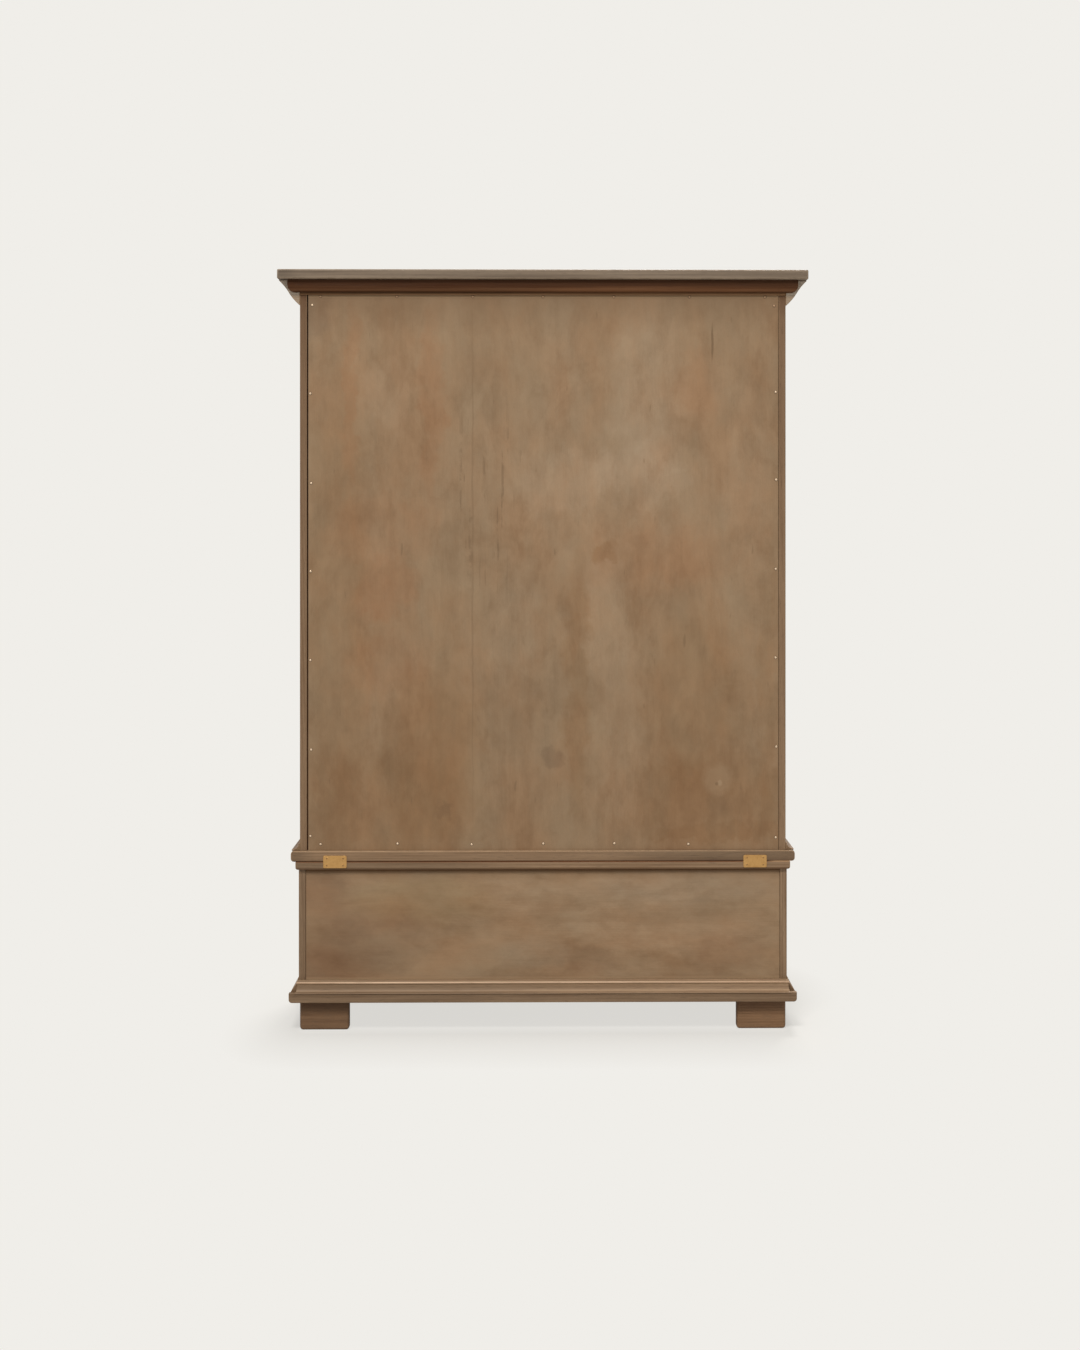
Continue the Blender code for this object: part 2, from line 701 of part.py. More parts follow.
def make_mending_plates():
    """Two brass plates screwed across the seam between the cases, behind."""
    seam = Z_WAIST - SEAT / 2
    face = BACK + WAIST_BACK_OVERHANG + SEAT
    end = UPPER_HALF + WAIST_OVERHANG
    for word, centre in (("left", PLATE_INSET_LEFT - end), ("right", end - PLATE_INSET_RIGHT)):
        plate = make_box("mending_plate_" + word,
                         (centre - PLATE_WIDTH / 2, centre + PLATE_WIDTH / 2),
                         (face, face + PLATE_THICKNESS),
                         (seam - PLATE_HEIGHT / 2, seam + PLATE_HEIGHT / 2), "brass")
        round_upright_edges(plate, PLATE_CORNER)
        runs = []
        for across in (-PLATE_HOLE_SPREAD / 2, PLATE_HOLE_SPREAD / 2):
            for up in (-PLATE_HOLE_RISE / 2, PLATE_HOLE_RISE / 2):
                place = Vector((centre + across, face + PLATE_THICKNESS / 2, seam + up))
                runs.append((place, 3 * PLATE_THICKNESS))
        cut(plate, make_cylinders("plate_holes_" + word, PLATE_HOLE_RADIUS, PLATE_HOLE_SIDES, runs,
                                  Matrix.Rotation(math.pi / 2, 4, "X")))


def round_upright_edges(plate, radius):
    """Round the four corners of a plate that lies against the back."""
    shape = bmesh.new()
    shape.from_mesh(plate.data)
    corners = [edge for edge in shape.edges
               if abs(edge.verts[0].co.y - edge.verts[1].co.y) > PLATE_THICKNESS / 2]
    bmesh.ops.bevel(shape, geom=corners, offset=radius, segments=2, profile=0.5, affect="EDGES")
    shape.to_mesh(plate.data)
    shape.free()


def make_chest_case():
    """The sides with their runners, the floor with its front rail, and the back panel."""
    levels = (Z_CHEST, Z_CHEST_END)
    rear = CHEST_RABBET - SEAT
    for word, hand in (("left", LEFT), ("right", RIGHT)):
        side = case_side("chest_side_" + word, hand, CHEST_HALF, CHEST_FRONT, CHEST_INNER,
                         CHEST_LIP, CHEST_RABBET, levels)
        floor = housing_span(hand, CHEST_INNER, CHEST_STILE_BACK, CHEST_RABBET,
                             (Z_CHEST - HOUSING, Z_CHEST_FLOOR_TOP))
        cut(side, make_boxes("chest_housing_" + word, [floor]))
        runner_top = DRAWER_LOW - SEAT
        runner = make_box("runner_" + word,
                          mirrored(hand, CHEST_INNER - RUNNER_WIDTH, CHEST_INNER + RUNNER_ROOT),
                          (CHEST_STILE_BACK - RUNNER_ROOT, rear),
                          (runner_top - RUNNER_THICKNESS, runner_top))
        guide = make_box("guide_" + word,
                         mirrored(hand, DRAWER_HALF + SLIDE_GAP, CHEST_INNER + RUNNER_ROOT),
                         (CHEST_STILE_BACK - RUNNER_ROOT, rear),
                         (runner_top - RUNNER_ROOT, runner_top + GUIDE_HEIGHT))
        join(runner, guide)
        cut(runner, make_rail_clearance("runner_clearance_" + word, hand))
        join(side, runner)
    make_chest_floor(rear)
    edge = CHEST_HALF - CHEST_LIP - BACK_PLAY
    make_box("chest_back_panel", (-edge, edge), (CHEST_RABBET + SEAT, BACK - BACK_RECESS),
             (Z_CHEST, Z_CHEST_END - SEAT), "aged_plywood")


def make_rail_clearance(name, hand):
    """The end of a runner is notched round the chest's front rail."""
    across = mirrored(hand, CHEST_INNER - 2 * RUNNER_WIDTH, CHEST_OPENING + SEAT)
    return make_box(name, across, (CHEST_FRONT, CHEST_STILE_BACK + SEAT),
                    (Z_CHEST, DRAWER_LOW + GUIDE_HEIGHT))


def make_chest_floor(rear):
    """The chest's floor board, with the rail that stands along its front edge."""
    housed = CHEST_INNER + HOUSING - SEAT
    notch = CHEST_OPENING - SEAT
    section = [(CHEST_FRONT, Z_CHEST), (rear, Z_CHEST), (rear, Z_CHEST_FLOOR_TOP),
               (CHEST_STILE_BACK, Z_CHEST_FLOOR_TOP), (CHEST_STILE_BACK, Z_CHEST_RAIL_TOP),
               (CHEST_FRONT, Z_CHEST_RAIL_TOP)]
    place = frame_of((0, 1, 0), (0, 0, 1), (0, 0, 0))
    floor = make_extrusion("chest_floor_board", section, 2 * housed, place,
                           "stained_hardwood")
    depth = (CHEST_FRONT - STILE_THICKNESS, CHEST_STILE_BACK + 2 * SEAT)
    height = (Z_CHEST - HOUSING, Z_CHEST_RAIL_TOP + HOUSING)
    cut(floor, make_boxes("chest_floor_notches",
                          [(mirrored(hand, notch, CHEST_HALF), depth, height)
                           for hand in (LEFT, RIGHT)]))


def make_base():
    """The base mouldings on all four sides of the chest."""
    make_wall_mouldings("base_moulding", mitre_safe(base_profile()), CHEST_HALF, CHEST_FRONT,
                        Z_CHEST)
    back_half = CHEST_HALF - BACK_BASE_SHORT
    place = frame_of((0, 1, 0), (0, 0, 1), (0, BACK, Z_CHEST))
    moulding = make_moulding("base_moulding_back", mitre_safe(back_base_profile()),
                             2 * back_half, place, (BACK_BASE_SLANT, BACK_BASE_SLANT),
                             "stained_hardwood")
    join(moulding, make_back_fascia())


def make_back_fascia():
    """The board under the back moulding, which laps over the ends of the side mouldings."""
    half = CHEST_HALF + BASE_PROJECTION
    top = BACK_BASE_FASCIA + BACK_FASCIA_LAP
    outline = [(half, top), (-half, top)]
    for hand, start in ((-1, 180), (1, 270)):
        outline += arc_points((hand * (half - BASE_ROUND), BASE_ROUND), (BASE_ROUND, BASE_ROUND),
                              start, start + 90, ARC_STEPS)
    face = BACK_BASE_PROJECTION - BACK_FASCIA_STEP
    place = frame_of((1, 0, 0), (0, 0, 1), (0, BACK + (SEAT + face) / 2, Z_CHEST))
    return make_extrusion("back_fascia", outline, face - SEAT, place)


def make_feet():
    """Four bracket feet: two boards that meet at the corner, with a glue block behind them."""
    outer = CHEST_HALF - FOOT_INSET
    for end_word, face, inward in (("back", BACK - FOOT_INSET, -1),
                                   ("front", CHEST_FRONT + FOOT_INSET, 1)):
        depth = sorted((face, face + inward * FOOT_DEPTH))
        for word, hand in (("left", LEFT), ("right", RIGHT)):
            name = "foot_" + end_word + "_" + word
            foot = make_box(name, mirrored(hand, outer - FOOT_WIDTH, outer), depth,
                            (0, FOOT_HEIGHT), "stained_hardwood")
            round_underside(foot)
            corner = Vector((hand * (outer - FOOT_BOARD), face + inward * FOOT_BOARD))
            cut(foot, make_foot_hollow(name + "_hollow", corner, -hand, inward))


def make_foot_hollow(name, corner, across, inward):
    """The space behind a foot's two boards and the slanting face of its glue block."""
    beyond = Vector((corner.x + across * FOOT_WIDTH, corner.y + inward * FOOT_DEPTH))
    outline = [(corner.x + across * FOOT_BLOCK, corner.y),
               (corner.x, corner.y + inward * FOOT_BLOCK), (corner.x, beyond.y),
               (beyond.x, beyond.y), (beyond.x, corner.y)]
    middle = Matrix.Translation((0, 0, FOOT_HEIGHT / 2))
    return make_extrusion(name, outline, 2 * FOOT_HEIGHT, middle)


def round_underside(foot):
    """Round a foot's lower and upright edges, and leave a flat sole."""
    shape = bmesh.new()
    shape.from_mesh(foot.data)
    edges = [edge for edge in shape.edges if min(end.co.z for end in edge.verts) < 0]
    bmesh.ops.bevel(shape, geom=edges, offset=FOOT_ROUND, segments=FOOT_ROUND_STEPS,
                    profile=0.5, affect="EDGES")
    shape.to_mesh(foot.data)
    shape.free()


def make_knob(name, x, face, z, parent):
    """A turned knob whose axis points out of the face that it is fixed to."""
    reach = KNOB_REACH
    half_head = KNOB_HEAD_THICKNESS / 2
    profile = [(0, reach)]
    profile += arc_points((0, reach - half_head), (KNOB_HEAD_RADIUS, half_head),
                          KNOB_CROWN_ANGLE, KNOB_UNDER_ANGLE, ARC_STEPS)
    profile += [(KNOB_NECK_RADIUS, KNOB_NECK_LENGTH), (KNOB_NECK_RADIUS, KNOB_NECK_FOOT),
                (KNOB_BASE_RADIUS, KNOB_BASE_THICKNESS), (KNOB_BASE_RADIUS, 0), (0, 0)]
    mesh = bpy.data.meshes.new(name)
    points = [(across, 0, up) for across, up in profile]
    edges = [(step, step + 1) for step in range(len(points) - 1)]
    mesh.from_pydata(points, edges, [])
    knob = bpy.data.objects.new(name, mesh)
    knob.matrix_world = Matrix.Translation((x, face - SEAT, z)) @ Matrix.Rotation(
        math.pi / 2, 4, "X")
    turn = knob.modifiers.new("turned", "SCREW")
    turn.steps = KNOB_STEPS
    turn.render_steps = KNOB_STEPS
    turn.use_merge_vertices = True
    turn.merge_threshold = WELD
    return file_piece(knob, "brass", parent)


def knuckle_runs(middle, first):
    """Centre height and length of every second knuckle, starting with the first given."""
    pitch = HINGE_LENGTH / KNUCKLE_COUNT
    low = middle - HINGE_LENGTH / 2
    return [(low + pitch * (step + 0.5), pitch - SEAT) for step in
            range(first, KNUCKLE_COUNT, 2)]


def leaf_outline(runs, middle):
    """A hinge leaf seen from its flat side, with a finger to each of its knuckles."""
    low = middle - HINGE_LENGTH / 2
    high = middle + HINGE_LENGTH / 2
    rear = FRONT + LEAF_WIDTH
    outline = [(rear, high), (rear, low), (FRONT, low)]
    for centre, length in runs:
        bottom = max(centre - length / 2, low)
        top = min(centre + length / 2, high)
        outline += [(FRONT, bottom), (HINGE_Y, bottom), (HINGE_Y, top), (FRONT, top)]
    outline.append((FRONT, high))
    return [point for step, point in enumerate(outline) if point != outline[step - 1]]


def make_hinge_half(name, hand, middle, first, leaf_span, parent=None):
    """One half of a butt hinge: its leaf, its knuckles and, on the frame half, the pin."""
    runs = knuckle_runs(middle, first)
    across = mirrored(hand, *leaf_span)
    place = frame_of((0, 1, 0), (0, 0, 1), (sum(across) / 2, 0, 0))
    leaf = make_extrusion(name, leaf_outline(runs, middle), LEAF_THICKNESS, place, "brass",
                          parent)
    axis = hand * HINGE_X
    barrels = [(Vector((axis, HINGE_Y, centre)), length) for centre, length in runs]
    join(leaf, make_cylinders(name + "_knuckles", KNUCKLE_RADIUS, ROUND_SIDES, barrels,
                              Matrix.Identity(4)))
    pin = [(Vector((axis, HINGE_Y, middle)), HINGE_LENGTH + 2 * PIN_TIP)]
    if first == 0:
        join(leaf, make_cylinders(name + "_pin", PIN_RADIUS, ROUND_SIDES, pin,
                                  Matrix.Identity(4)))
    else:
        cut(leaf, make_cylinders(name + "_bore", PIN_RADIUS + SEAT, ROUND_SIDES, pin,
                                 Matrix.Identity(4)))
    return leaf


def make_door(word, hand):
    """A framed door with a raised panel, its knob and its two hinges."""
    pivot = make_pivot("door_" + word + "_axis", (hand * HINGE_X, HINGE_Y, DOOR_LOW))
    prefix = "door_" + word + "_"
    inner_meeting = DOOR_MEETING + DOOR_STILE
    inner_hinge = DOOR_EDGE - DOOR_STILE
    make_door_stile(prefix + "hinge_stile", hand, (inner_hinge, DOOR_EDGE), inner_hinge,
                    pivot, hinged=True)
    make_door_stile(prefix + "meeting_stile", hand, (DOOR_MEETING, inner_meeting),
                    inner_meeting, pivot, hinged=False)
    rail_span = (inner_meeting + SEAT, inner_hinge - SEAT)
    make_door_rail(prefix + "bottom_rail", hand, rail_span,
                   (DOOR_LOW, DOOR_LOW + DOOR_BOTTOM_RAIL), 1, pivot)
    make_door_rail(prefix + "top_rail", hand, rail_span,
                   (DOOR_HIGH - DOOR_TOP_RAIL, DOOR_HIGH), -1, pivot)
    make_door_panel(prefix + "panel", hand, (inner_meeting, inner_hinge), pivot)
    make_knob(prefix + "knob", hand * (DOOR_MEETING + DOOR_STILE / 2), FRONT,
              DOOR_LOW + DOOR_KNOB_RISE, pivot)
    frame_leaf = (UPPER_OPENING, UPPER_OPENING + LEAF_THICKNESS)
    door_leaf = (DOOR_EDGE - LEAF_THICKNESS, DOOR_EDGE)
    for level_word, level in zip(("lower", "upper"), HINGE_LEVELS):
        make_hinge_half("hinge_" + level_word + "_" + word + "_frame_leaf", hand, level, 0,
                        frame_leaf)
        make_hinge_half("hinge_" + level_word + "_" + word + "_door_leaf", hand, level, 1,
                        door_leaf, pivot)


def make_door_stile(name, hand, span, inner, pivot, hinged):
    """An upright of a door, grooved for the panel and mortised for the two rails."""
    stile = make_box(name, mirrored(hand, *span), (FRONT, DOOR_BACK), (DOOR_LOW, DOOR_HIGH),
                     "stained_hardwood", pivot, EASED_EDGE)
    groove = tenon_depth(DOOR_MIDDLE, SEAT)
    low_tenon = (DOOR_LOW + TENON_SHOULDER - SEAT, DOOR_LOW + DOOR_BOTTOM_RAIL)
    high_tenon = (DOOR_HIGH - DOOR_TOP_RAIL, DOOR_HIGH - TENON_SHOULDER + SEAT)
    shallow = mirrored(hand, inner - GROOVE_DEPTH, inner + GROOVE_DEPTH)
    reach = TENON_LENGTH + SEAT
    deep = mirrored(hand, inner - reach, inner + reach)
    cut(stile, make_boxes(name + "_groove", [(shallow, groove, (low_tenon[1], high_tenon[0]))]))
    cut(stile, make_boxes(name + "_mortises", [(deep, groove, low_tenon),
                                               (deep, groove, high_tenon)]))
    if hinged:
        half = HINGE_LENGTH / 2 + SEAT
        across = mirrored(hand, DOOR_EDGE - LEAF_THICKNESS - SEAT, DOOR_EDGE + LEAF_WIDTH)
        depth = (FRONT - LEAF_WIDTH, FRONT + LEAF_WIDTH + SEAT)
        cut(stile, make_boxes(name + "_recesses",
                              [(across, depth, (level - half, level + half))
                               for level in HINGE_LEVELS]))


def make_door_rail(name, hand, span, levels, inward, pivot):
    """A cross rail of a door, with a tenon at each end and a groove along its inner edge."""
    rail = make_box(name, mirrored(hand, *span), (FRONT, DOOR_BACK), levels,
                    "stained_hardwood", pivot, EASED_EDGE)
    low, high = levels
    inner = high if inward > 0 else low
    tenon_levels = (low + TENON_SHOULDER, high) if inward > 0 else (low, high - TENON_SHOULDER)
    body = tenon_depth(DOOR_MIDDLE, 0)
    near = mirrored(hand, span[0] - TENON_LENGTH, span[0] + TENON_LENGTH)
    far = mirrored(hand, span[1] - TENON_LENGTH, span[1] + TENON_LENGTH)
    join(rail, make_boxes(name + "_tenons", [(near, body, tenon_levels),
                                             (far, body, tenon_levels)]))
    groove_levels = (inner - GROOVE_DEPTH, inner + GROOVE_DEPTH)
    across = mirrored(hand, span[0] - 2 * TENON_LENGTH, span[1] + 2 * TENON_LENGTH)
    cut(rail, make_boxes(name + "_groove", [(across, tenon_depth(DOOR_MIDDLE, SEAT),
                                             groove_levels)]))


def make_door_panel(name, hand, span, pivot):
    """A raised panel: a thin tongue all round, a slope, and a field one small step above it."""
    reach = GROOVE_DEPTH - PANEL_PLAY
    low = DOOR_LOW + DOOR_BOTTOM_RAIL - reach
    high = DOOR_HIGH - DOOR_TOP_RAIL + reach
    panel = make_box(name, mirrored(hand, span[0] - reach, span[1] + reach),
                     tenon_depth(DOOR_MIDDLE, 0), (low, high), "stained_hardwood", pivot)
    shape = bmesh.new()
    shape.from_mesh(panel.data)
    shape.faces.ensure_lookup_table()
    face = [item for item in shape.faces if item.normal.y < -FACING]
    for thickness, depth in ((GROOVE_DEPTH, 0), (PANEL_BORDER, PANEL_RAISE),
                             (PANEL_STEP_LEAN, PANEL_STEP)):
        bmesh.ops.inset_region(shape, faces=face, thickness=thickness, depth=depth,
                               use_even_offset=True)
    shape.to_mesh(panel.data)
    shape.free()


def tail_spans(levels):
    """The narrow and wide heights of each dovetail, evenly spaced along a corner."""
    low, high = levels
    pitch = (high - low) / DOVETAIL_COUNT
    spans = []
    for step in range(DOVETAIL_COUNT):
        middle = low + pitch * (step + 0.5)
        narrow = pitch * DOVETAIL_SHARE
        spans.append((middle - narrow, middle + narrow,
                      middle - narrow - DOVETAIL_SLOPE, middle + narrow + DOVETAIL_SLOPE))
    return spans


def tail_outline(shoulder, tip, span, clearance):
    """One dovetail as four points, a little larger when it is to be cut out."""
    narrow_low, narrow_high, wide_low, wide_high = span
    root = shoulder - clearance if tip > shoulder else shoulder + clearance
    end = tip + clearance if tip > shoulder else tip - clearance
    return [(root, narrow_low - clearance), (end, wide_low - clearance),
            (end, wide_high + clearance), (root, narrow_high + clearance)]


def drawer_plan():
    """The depths at which the drawer's front, sides and back meet."""
    front_shoulder = CHEST_FRONT + DRAWER_FRONT_THICKNESS + SEAT
    front_tip = CHEST_FRONT + DOVETAIL_LAP
    back_shoulder = DRAWER_REAR - DRAWER_BACK_THICKNESS - SEAT
    return front_shoulder, front_tip, back_shoulder, DRAWER_REAR


def make_drawer():
    """The long drawer: a dovetailed box with a thin bottom let into grooves."""
    pivot = make_pivot("drawer_axis", (0, CHEST_FRONT, DRAWER_LOW))
    high = DRAWER_HIGH - DRAWER_SIDE_DROP
    bottom_level = DRAWER_LOW + DRAWER_BOTTOM_RISE
    bottom_top = bottom_level + DRAWER_BOTTOM_THICKNESS
    front_levels = (DRAWER_LOW, high)
    back_levels = (bottom_top + SEAT, high)
    front_shoulder, front_tip, back_shoulder, back_tip = drawer_plan()
    front_tails = tail_spans(front_levels)
    back_tails = tail_spans(back_levels)

    outline = [(back_shoulder, DRAWER_LOW), (front_shoulder, DRAWER_LOW)]
    for span in front_tails:
        outline += tail_outline(front_shoulder, front_tip, span, 0)
    outline += [(front_shoulder, high), (back_shoulder, high)]
    for span in reversed(back_tails):
        outline += reversed(tail_outline(back_shoulder, back_tip, span, 0))

    groove_levels = (bottom_level - SEAT, bottom_top + SEAT)
    groove_reach = DRAWER_SIDE_THICKNESS / 2
    inner = DRAWER_HALF - DRAWER_SIDE_THICKNESS
    for word, hand in (("left", LEFT), ("right", RIGHT)):
        middle = hand * (DRAWER_HALF - DRAWER_SIDE_THICKNESS / 2)
        place = frame_of((0, 1, 0), (0, 0, 1), (middle, 0, 0))
        side = make_extrusion("drawer_side_" + word, outline, DRAWER_SIDE_THICKNESS, place,
                              "drawer_softwood", pivot)
        across = mirrored(hand, inner - groove_reach, inner + groove_reach)
        cut(side, make_boxes("drawer_groove_" + word,
                             [(across, (CHEST_FRONT, BACK), groove_levels)]))

    front = make_box("drawer_front", (-DRAWER_HALF, DRAWER_HALF),
                     (CHEST_FRONT, CHEST_FRONT + DRAWER_FRONT_THICKNESS),
                     (DRAWER_LOW, DRAWER_HIGH), "stained_hardwood", pivot, EASED_EDGE)
    front_groove = (front_shoulder - groove_reach, front_shoulder + groove_reach)
    cut(front, make_boxes("drawer_front_groove",
                          [((-inner - groove_reach, inner + groove_reach), front_groove,
                            groove_levels)]))
    cut_sockets(front, "front_sockets", front_shoulder, front_tip, front_tails)

    back = make_box("drawer_back", (-DRAWER_HALF, DRAWER_HALF),
                    (DRAWER_REAR - DRAWER_BACK_THICKNESS, DRAWER_REAR), back_levels,
                    "drawer_softwood", pivot)
    cut_sockets(back, "back_sockets", back_shoulder, back_tip, back_tails)

    bottom_half = inner + groove_reach - SEAT
    make_box("drawer_bottom", (-bottom_half, bottom_half),
             (front_groove[0] + SEAT, DRAWER_REAR), (bottom_level, bottom_top),
             "aged_plywood", pivot)
    knob_level = (DRAWER_LOW + DRAWER_HIGH) / 2
    for word, hand in (("left", LEFT), ("right", RIGHT)):
        make_knob("drawer_knob_" + word, hand * DRAWER_KNOB_SPACING / 2, CHEST_FRONT,
                  knob_level, pivot)


def cut_sockets(board, name, shoulder, tip, tails):
    """Cut the sockets for a row of dovetails into both ends of a board."""
    for word, hand in (("left", LEFT), ("right", RIGHT)):
        middle = hand * DRAWER_HALF
        place = frame_of((0, 1, 0), (0, 0, 1), (middle, 0, 0))
        width = 2 * (DRAWER_SIDE_THICKNESS + SEAT)
        for step, span in enumerate(tails):
            outline = tail_outline(shoulder, tip, span, SEAT)
            cutter = make_extrusion(name + "_" + word + "_" + str(step), outline, width, place)
            cut(board, cutter)


def make_cabinet():
    """Build every piece of the cabinet."""
    make_cornice()
    make_upper_sides()
    make_upper_boards()
    make_door("left", LEFT)
    make_door("right", RIGHT)
    make_waist()
    make_mending_plates()
    make_chest_case()
    make_drawer()
    make_base()
    make_feet()


make_cabinet()
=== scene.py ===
"""Finishes a tall cabinet that stands on a low chest, and sets the studio round it.

The packed model gives each board its shape and place. This file gives the boards softened edges
and stained or bare wood, turns the knobs, drives the nails and screws, and lights the whole from
behind, which is the side that the picture shows.
"""
import json
import math
from contextlib import contextmanager
from functools import partial

import bmesh
import bpy
from mathutils import Color, Matrix, Vector

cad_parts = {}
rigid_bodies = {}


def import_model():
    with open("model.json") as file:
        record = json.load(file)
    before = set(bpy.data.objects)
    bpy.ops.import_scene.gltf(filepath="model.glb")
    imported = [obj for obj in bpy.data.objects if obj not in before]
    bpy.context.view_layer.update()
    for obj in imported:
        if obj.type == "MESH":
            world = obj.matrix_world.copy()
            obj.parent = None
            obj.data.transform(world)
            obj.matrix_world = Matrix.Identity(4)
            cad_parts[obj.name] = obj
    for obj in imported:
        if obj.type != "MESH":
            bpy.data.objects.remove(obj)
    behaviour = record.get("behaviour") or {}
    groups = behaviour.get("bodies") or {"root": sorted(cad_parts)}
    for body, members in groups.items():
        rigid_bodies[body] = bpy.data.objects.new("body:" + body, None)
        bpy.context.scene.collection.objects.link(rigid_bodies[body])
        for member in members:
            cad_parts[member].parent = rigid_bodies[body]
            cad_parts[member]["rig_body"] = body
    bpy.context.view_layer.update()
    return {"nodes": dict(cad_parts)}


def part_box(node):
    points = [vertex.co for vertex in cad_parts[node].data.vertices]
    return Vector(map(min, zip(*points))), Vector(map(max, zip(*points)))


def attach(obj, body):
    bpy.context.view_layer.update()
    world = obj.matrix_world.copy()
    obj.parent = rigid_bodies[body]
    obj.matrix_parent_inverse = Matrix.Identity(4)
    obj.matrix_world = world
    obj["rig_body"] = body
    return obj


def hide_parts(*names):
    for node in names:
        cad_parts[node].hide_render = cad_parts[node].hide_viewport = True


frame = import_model()

bl_info = {
    "name": "Tall cabinet finisher",
    "version": (1, 0, 0),
    "blender": (4, 5, 0),
    "location": "3D View > Sidebar > Cabinet",
    "description": "Finishes the boards of a tall cabinet, adds its small fittings and lights it",
    "category": "Object",
}

ACROSS = "X"
DEEP = "Y"
UPRIGHT = "Z"
SIDEWAYS = Vector((1.0, 0.0, 0.0))
BACKWARDS = Vector((0.0, 1.0, 0.0))
UPWARDS = Vector((0.0, 0.0, 1.0))
AXES = {ACROSS: SIDEWAYS, DEEP: BACKWARDS, UPRIGHT: UPWARDS}
GRAIN_TURNS = {ACROSS: (2.0, 90.0, 0.0), DEEP: (90.0, 2.0, 0.0), UPRIGHT: (1.6, -1.2, 0.0)}
SIDES = ("left", "right")
WELD_DISTANCE = 0.00002
RAIL_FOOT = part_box("cornice_back_rail")[0].z
PLY_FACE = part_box("upper_back_panel")[1].y
STILE_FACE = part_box("frieze_rail")[0].y
WHITE = (1.0, 1.0, 1.0)

Tint = partial(bpy.props.FloatVectorProperty, subtype="COLOR_GAMMA", size=3, min=0.0, max=1.0)
Length = partial(bpy.props.FloatProperty, subtype="DISTANCE", unit="LENGTH", precision=4)
Power = partial(bpy.props.FloatProperty, subtype="POWER", unit="POWER", min=0.0, max=3000.0)


class CabinetFinishes(bpy.types.PropertyGroup):
    """Colours of the woods and the brass, as they look in daylight."""

    stain: Tint(name="Brown stain", default=(0.536, 0.432, 0.328),
                description="Stain on the sides, shelves, doors and mouldings")
    dark_stain: Tint(name="Dark stain", default=(0.335, 0.218, 0.136),
                     description="Stain on the rail behind the cornice")
    slab_stain: Tint(name="Greyed stain", default=(0.462, 0.400, 0.334),
                     description="Worn, greyed stain on the slab that tops the cornice")
    foot_stain: Tint(name="Stain of the feet", default=(0.442, 0.331, 0.232),
                     description="Colour of the four bracket feet")
    plywood: Tint(name="Washed plywood", default=(0.550, 0.450, 0.344),
                  description="Thin wash on the plywood of the back panels")
    softwood: Tint(name="Bare softwood", default=(0.740, 0.615, 0.455),
                   description="Unfinished wood of the drawer box and its runners")
    # Cut ends are kept pale partly as painted light, where the slab shades them.
    cut_wood: Tint(name="Cut ends", default=(0.730, 0.680, 0.620),
                   description="Pale, unstained saw cuts at the back ends of the crown")
    # The bead is given this light colour as a painted highlight along the base.
    rubbed_bead: Tint(name="Rubbed bead", default=(0.812, 0.690, 0.575),
                      description="Bead along the base, rubbed almost bare")
    bare_steel: Tint(name="Bare nails", default=(0.860, 0.755, 0.635),
                     description="Nails along the sides and the foot of the upper back panel")
    # These nails are darkened as painted shade, for the rail's shadow over them.
    stained_steel: Tint(name="Stained nails", default=(0.660, 0.525, 0.400),
                        description="Nails under the rail, which took the stain")
    brass: Tint(name="Aged brass", default=(0.760, 0.590, 0.370),
                description="Brass of the plates, hinges and knobs")
    # The edge strip shows wear and is lightened as a painted highlight.
    edge_softness: Length(name="Edge softness", default=0.0012, min=0.0002, max=0.003,
                          description="Width of the worn edge along every board")


class CabinetFittings(bpy.types.PropertyGroup):
    """Sizes of the small fittings that are not in the packed model."""

    nail_head: Length(name="Nail head", default=0.0056, min=0.002, max=0.01,
                      description="Diameter of the heads of the nails in the upper back panel")
    nail_margin: Length(name="Nail margin", default=0.008, min=0.004, max=0.03,
                        description="How far the side rows of nails stand in from the edge")
    nails_a_row: bpy.props.IntProperty(name="Nails in a row", default=7, min=2, max=20,
                                       description="How many nails hold each edge of the panel")
    panel_bead: Length(name="Panel bead", default=0.0062, min=0.002, max=0.012,
                       description="Width of the quarter-round bead round each door's panel")
    plate_screw: Length(name="Plate screw", default=0.0068, min=0.003, max=0.01,
                        description="Diameter of the screw heads in the mending plates")
    hinge_screw: Length(name="Hinge screw", default=0.0056, min=0.003, max=0.01,
                        description="Diameter of the screw heads in the hinges")
    knob_facets: bpy.props.IntProperty(name="Knob smoothness", default=48, min=16, max=96,
                                       description="How many steps go round a turned knob")


class CabinetStudio(bpy.types.PropertyGroup):
    """The camera behind the cabinet, the lamps and the pale surroundings."""

    camera_height: Length(name="Camera height", default=1.32, min=0.1, max=3.0,
                          description="Height of the lens above the floor")
    camera_distance: Length(name="Camera distance", default=6.0, min=1.0, max=20.0,
                            description="From the lens to the back panel")
    camera_sideways: Length(name="Camera sideways", default=0.0081, min=-1.0, max=1.0,
                            description="How far the lens stands off the cabinet's middle")
    camera_turn: bpy.props.FloatProperty(
        name="Camera turn", subtype="ANGLE", unit="ROTATION", default=math.radians(0.82),
        min=math.radians(-5.0), max=math.radians(5.0),
        description="How far the lens is turned off square, towards the cabinet's left side")
    view_height: Length(name="View height", default=3.4871, min=1.0, max=10.0,
                        description="Height of the whole picture where it meets the panel")
    view_middle: Length(name="View middle", default=0.9155, min=0.0, max=3.0,
                        description="Height above the floor of the middle of the picture")
    background: Tint(name="Background", default=(0.941, 0.933, 0.914),
                     description="Colour of the surroundings as the camera sees them")
    key_power: Power(name="Key lamp", default=800.0,
                     description="Power of the large lamp above and behind the camera")
    fill_power: Power(name="Front lamp", default=800.0,
                      description="Power of the lamp that lights the doors")
    sky_strength: bpy.props.FloatProperty(name="Room light", default=0.45, min=0.0, max=2.0,
                                          description="Even light from all round")


# Small tools of the bench


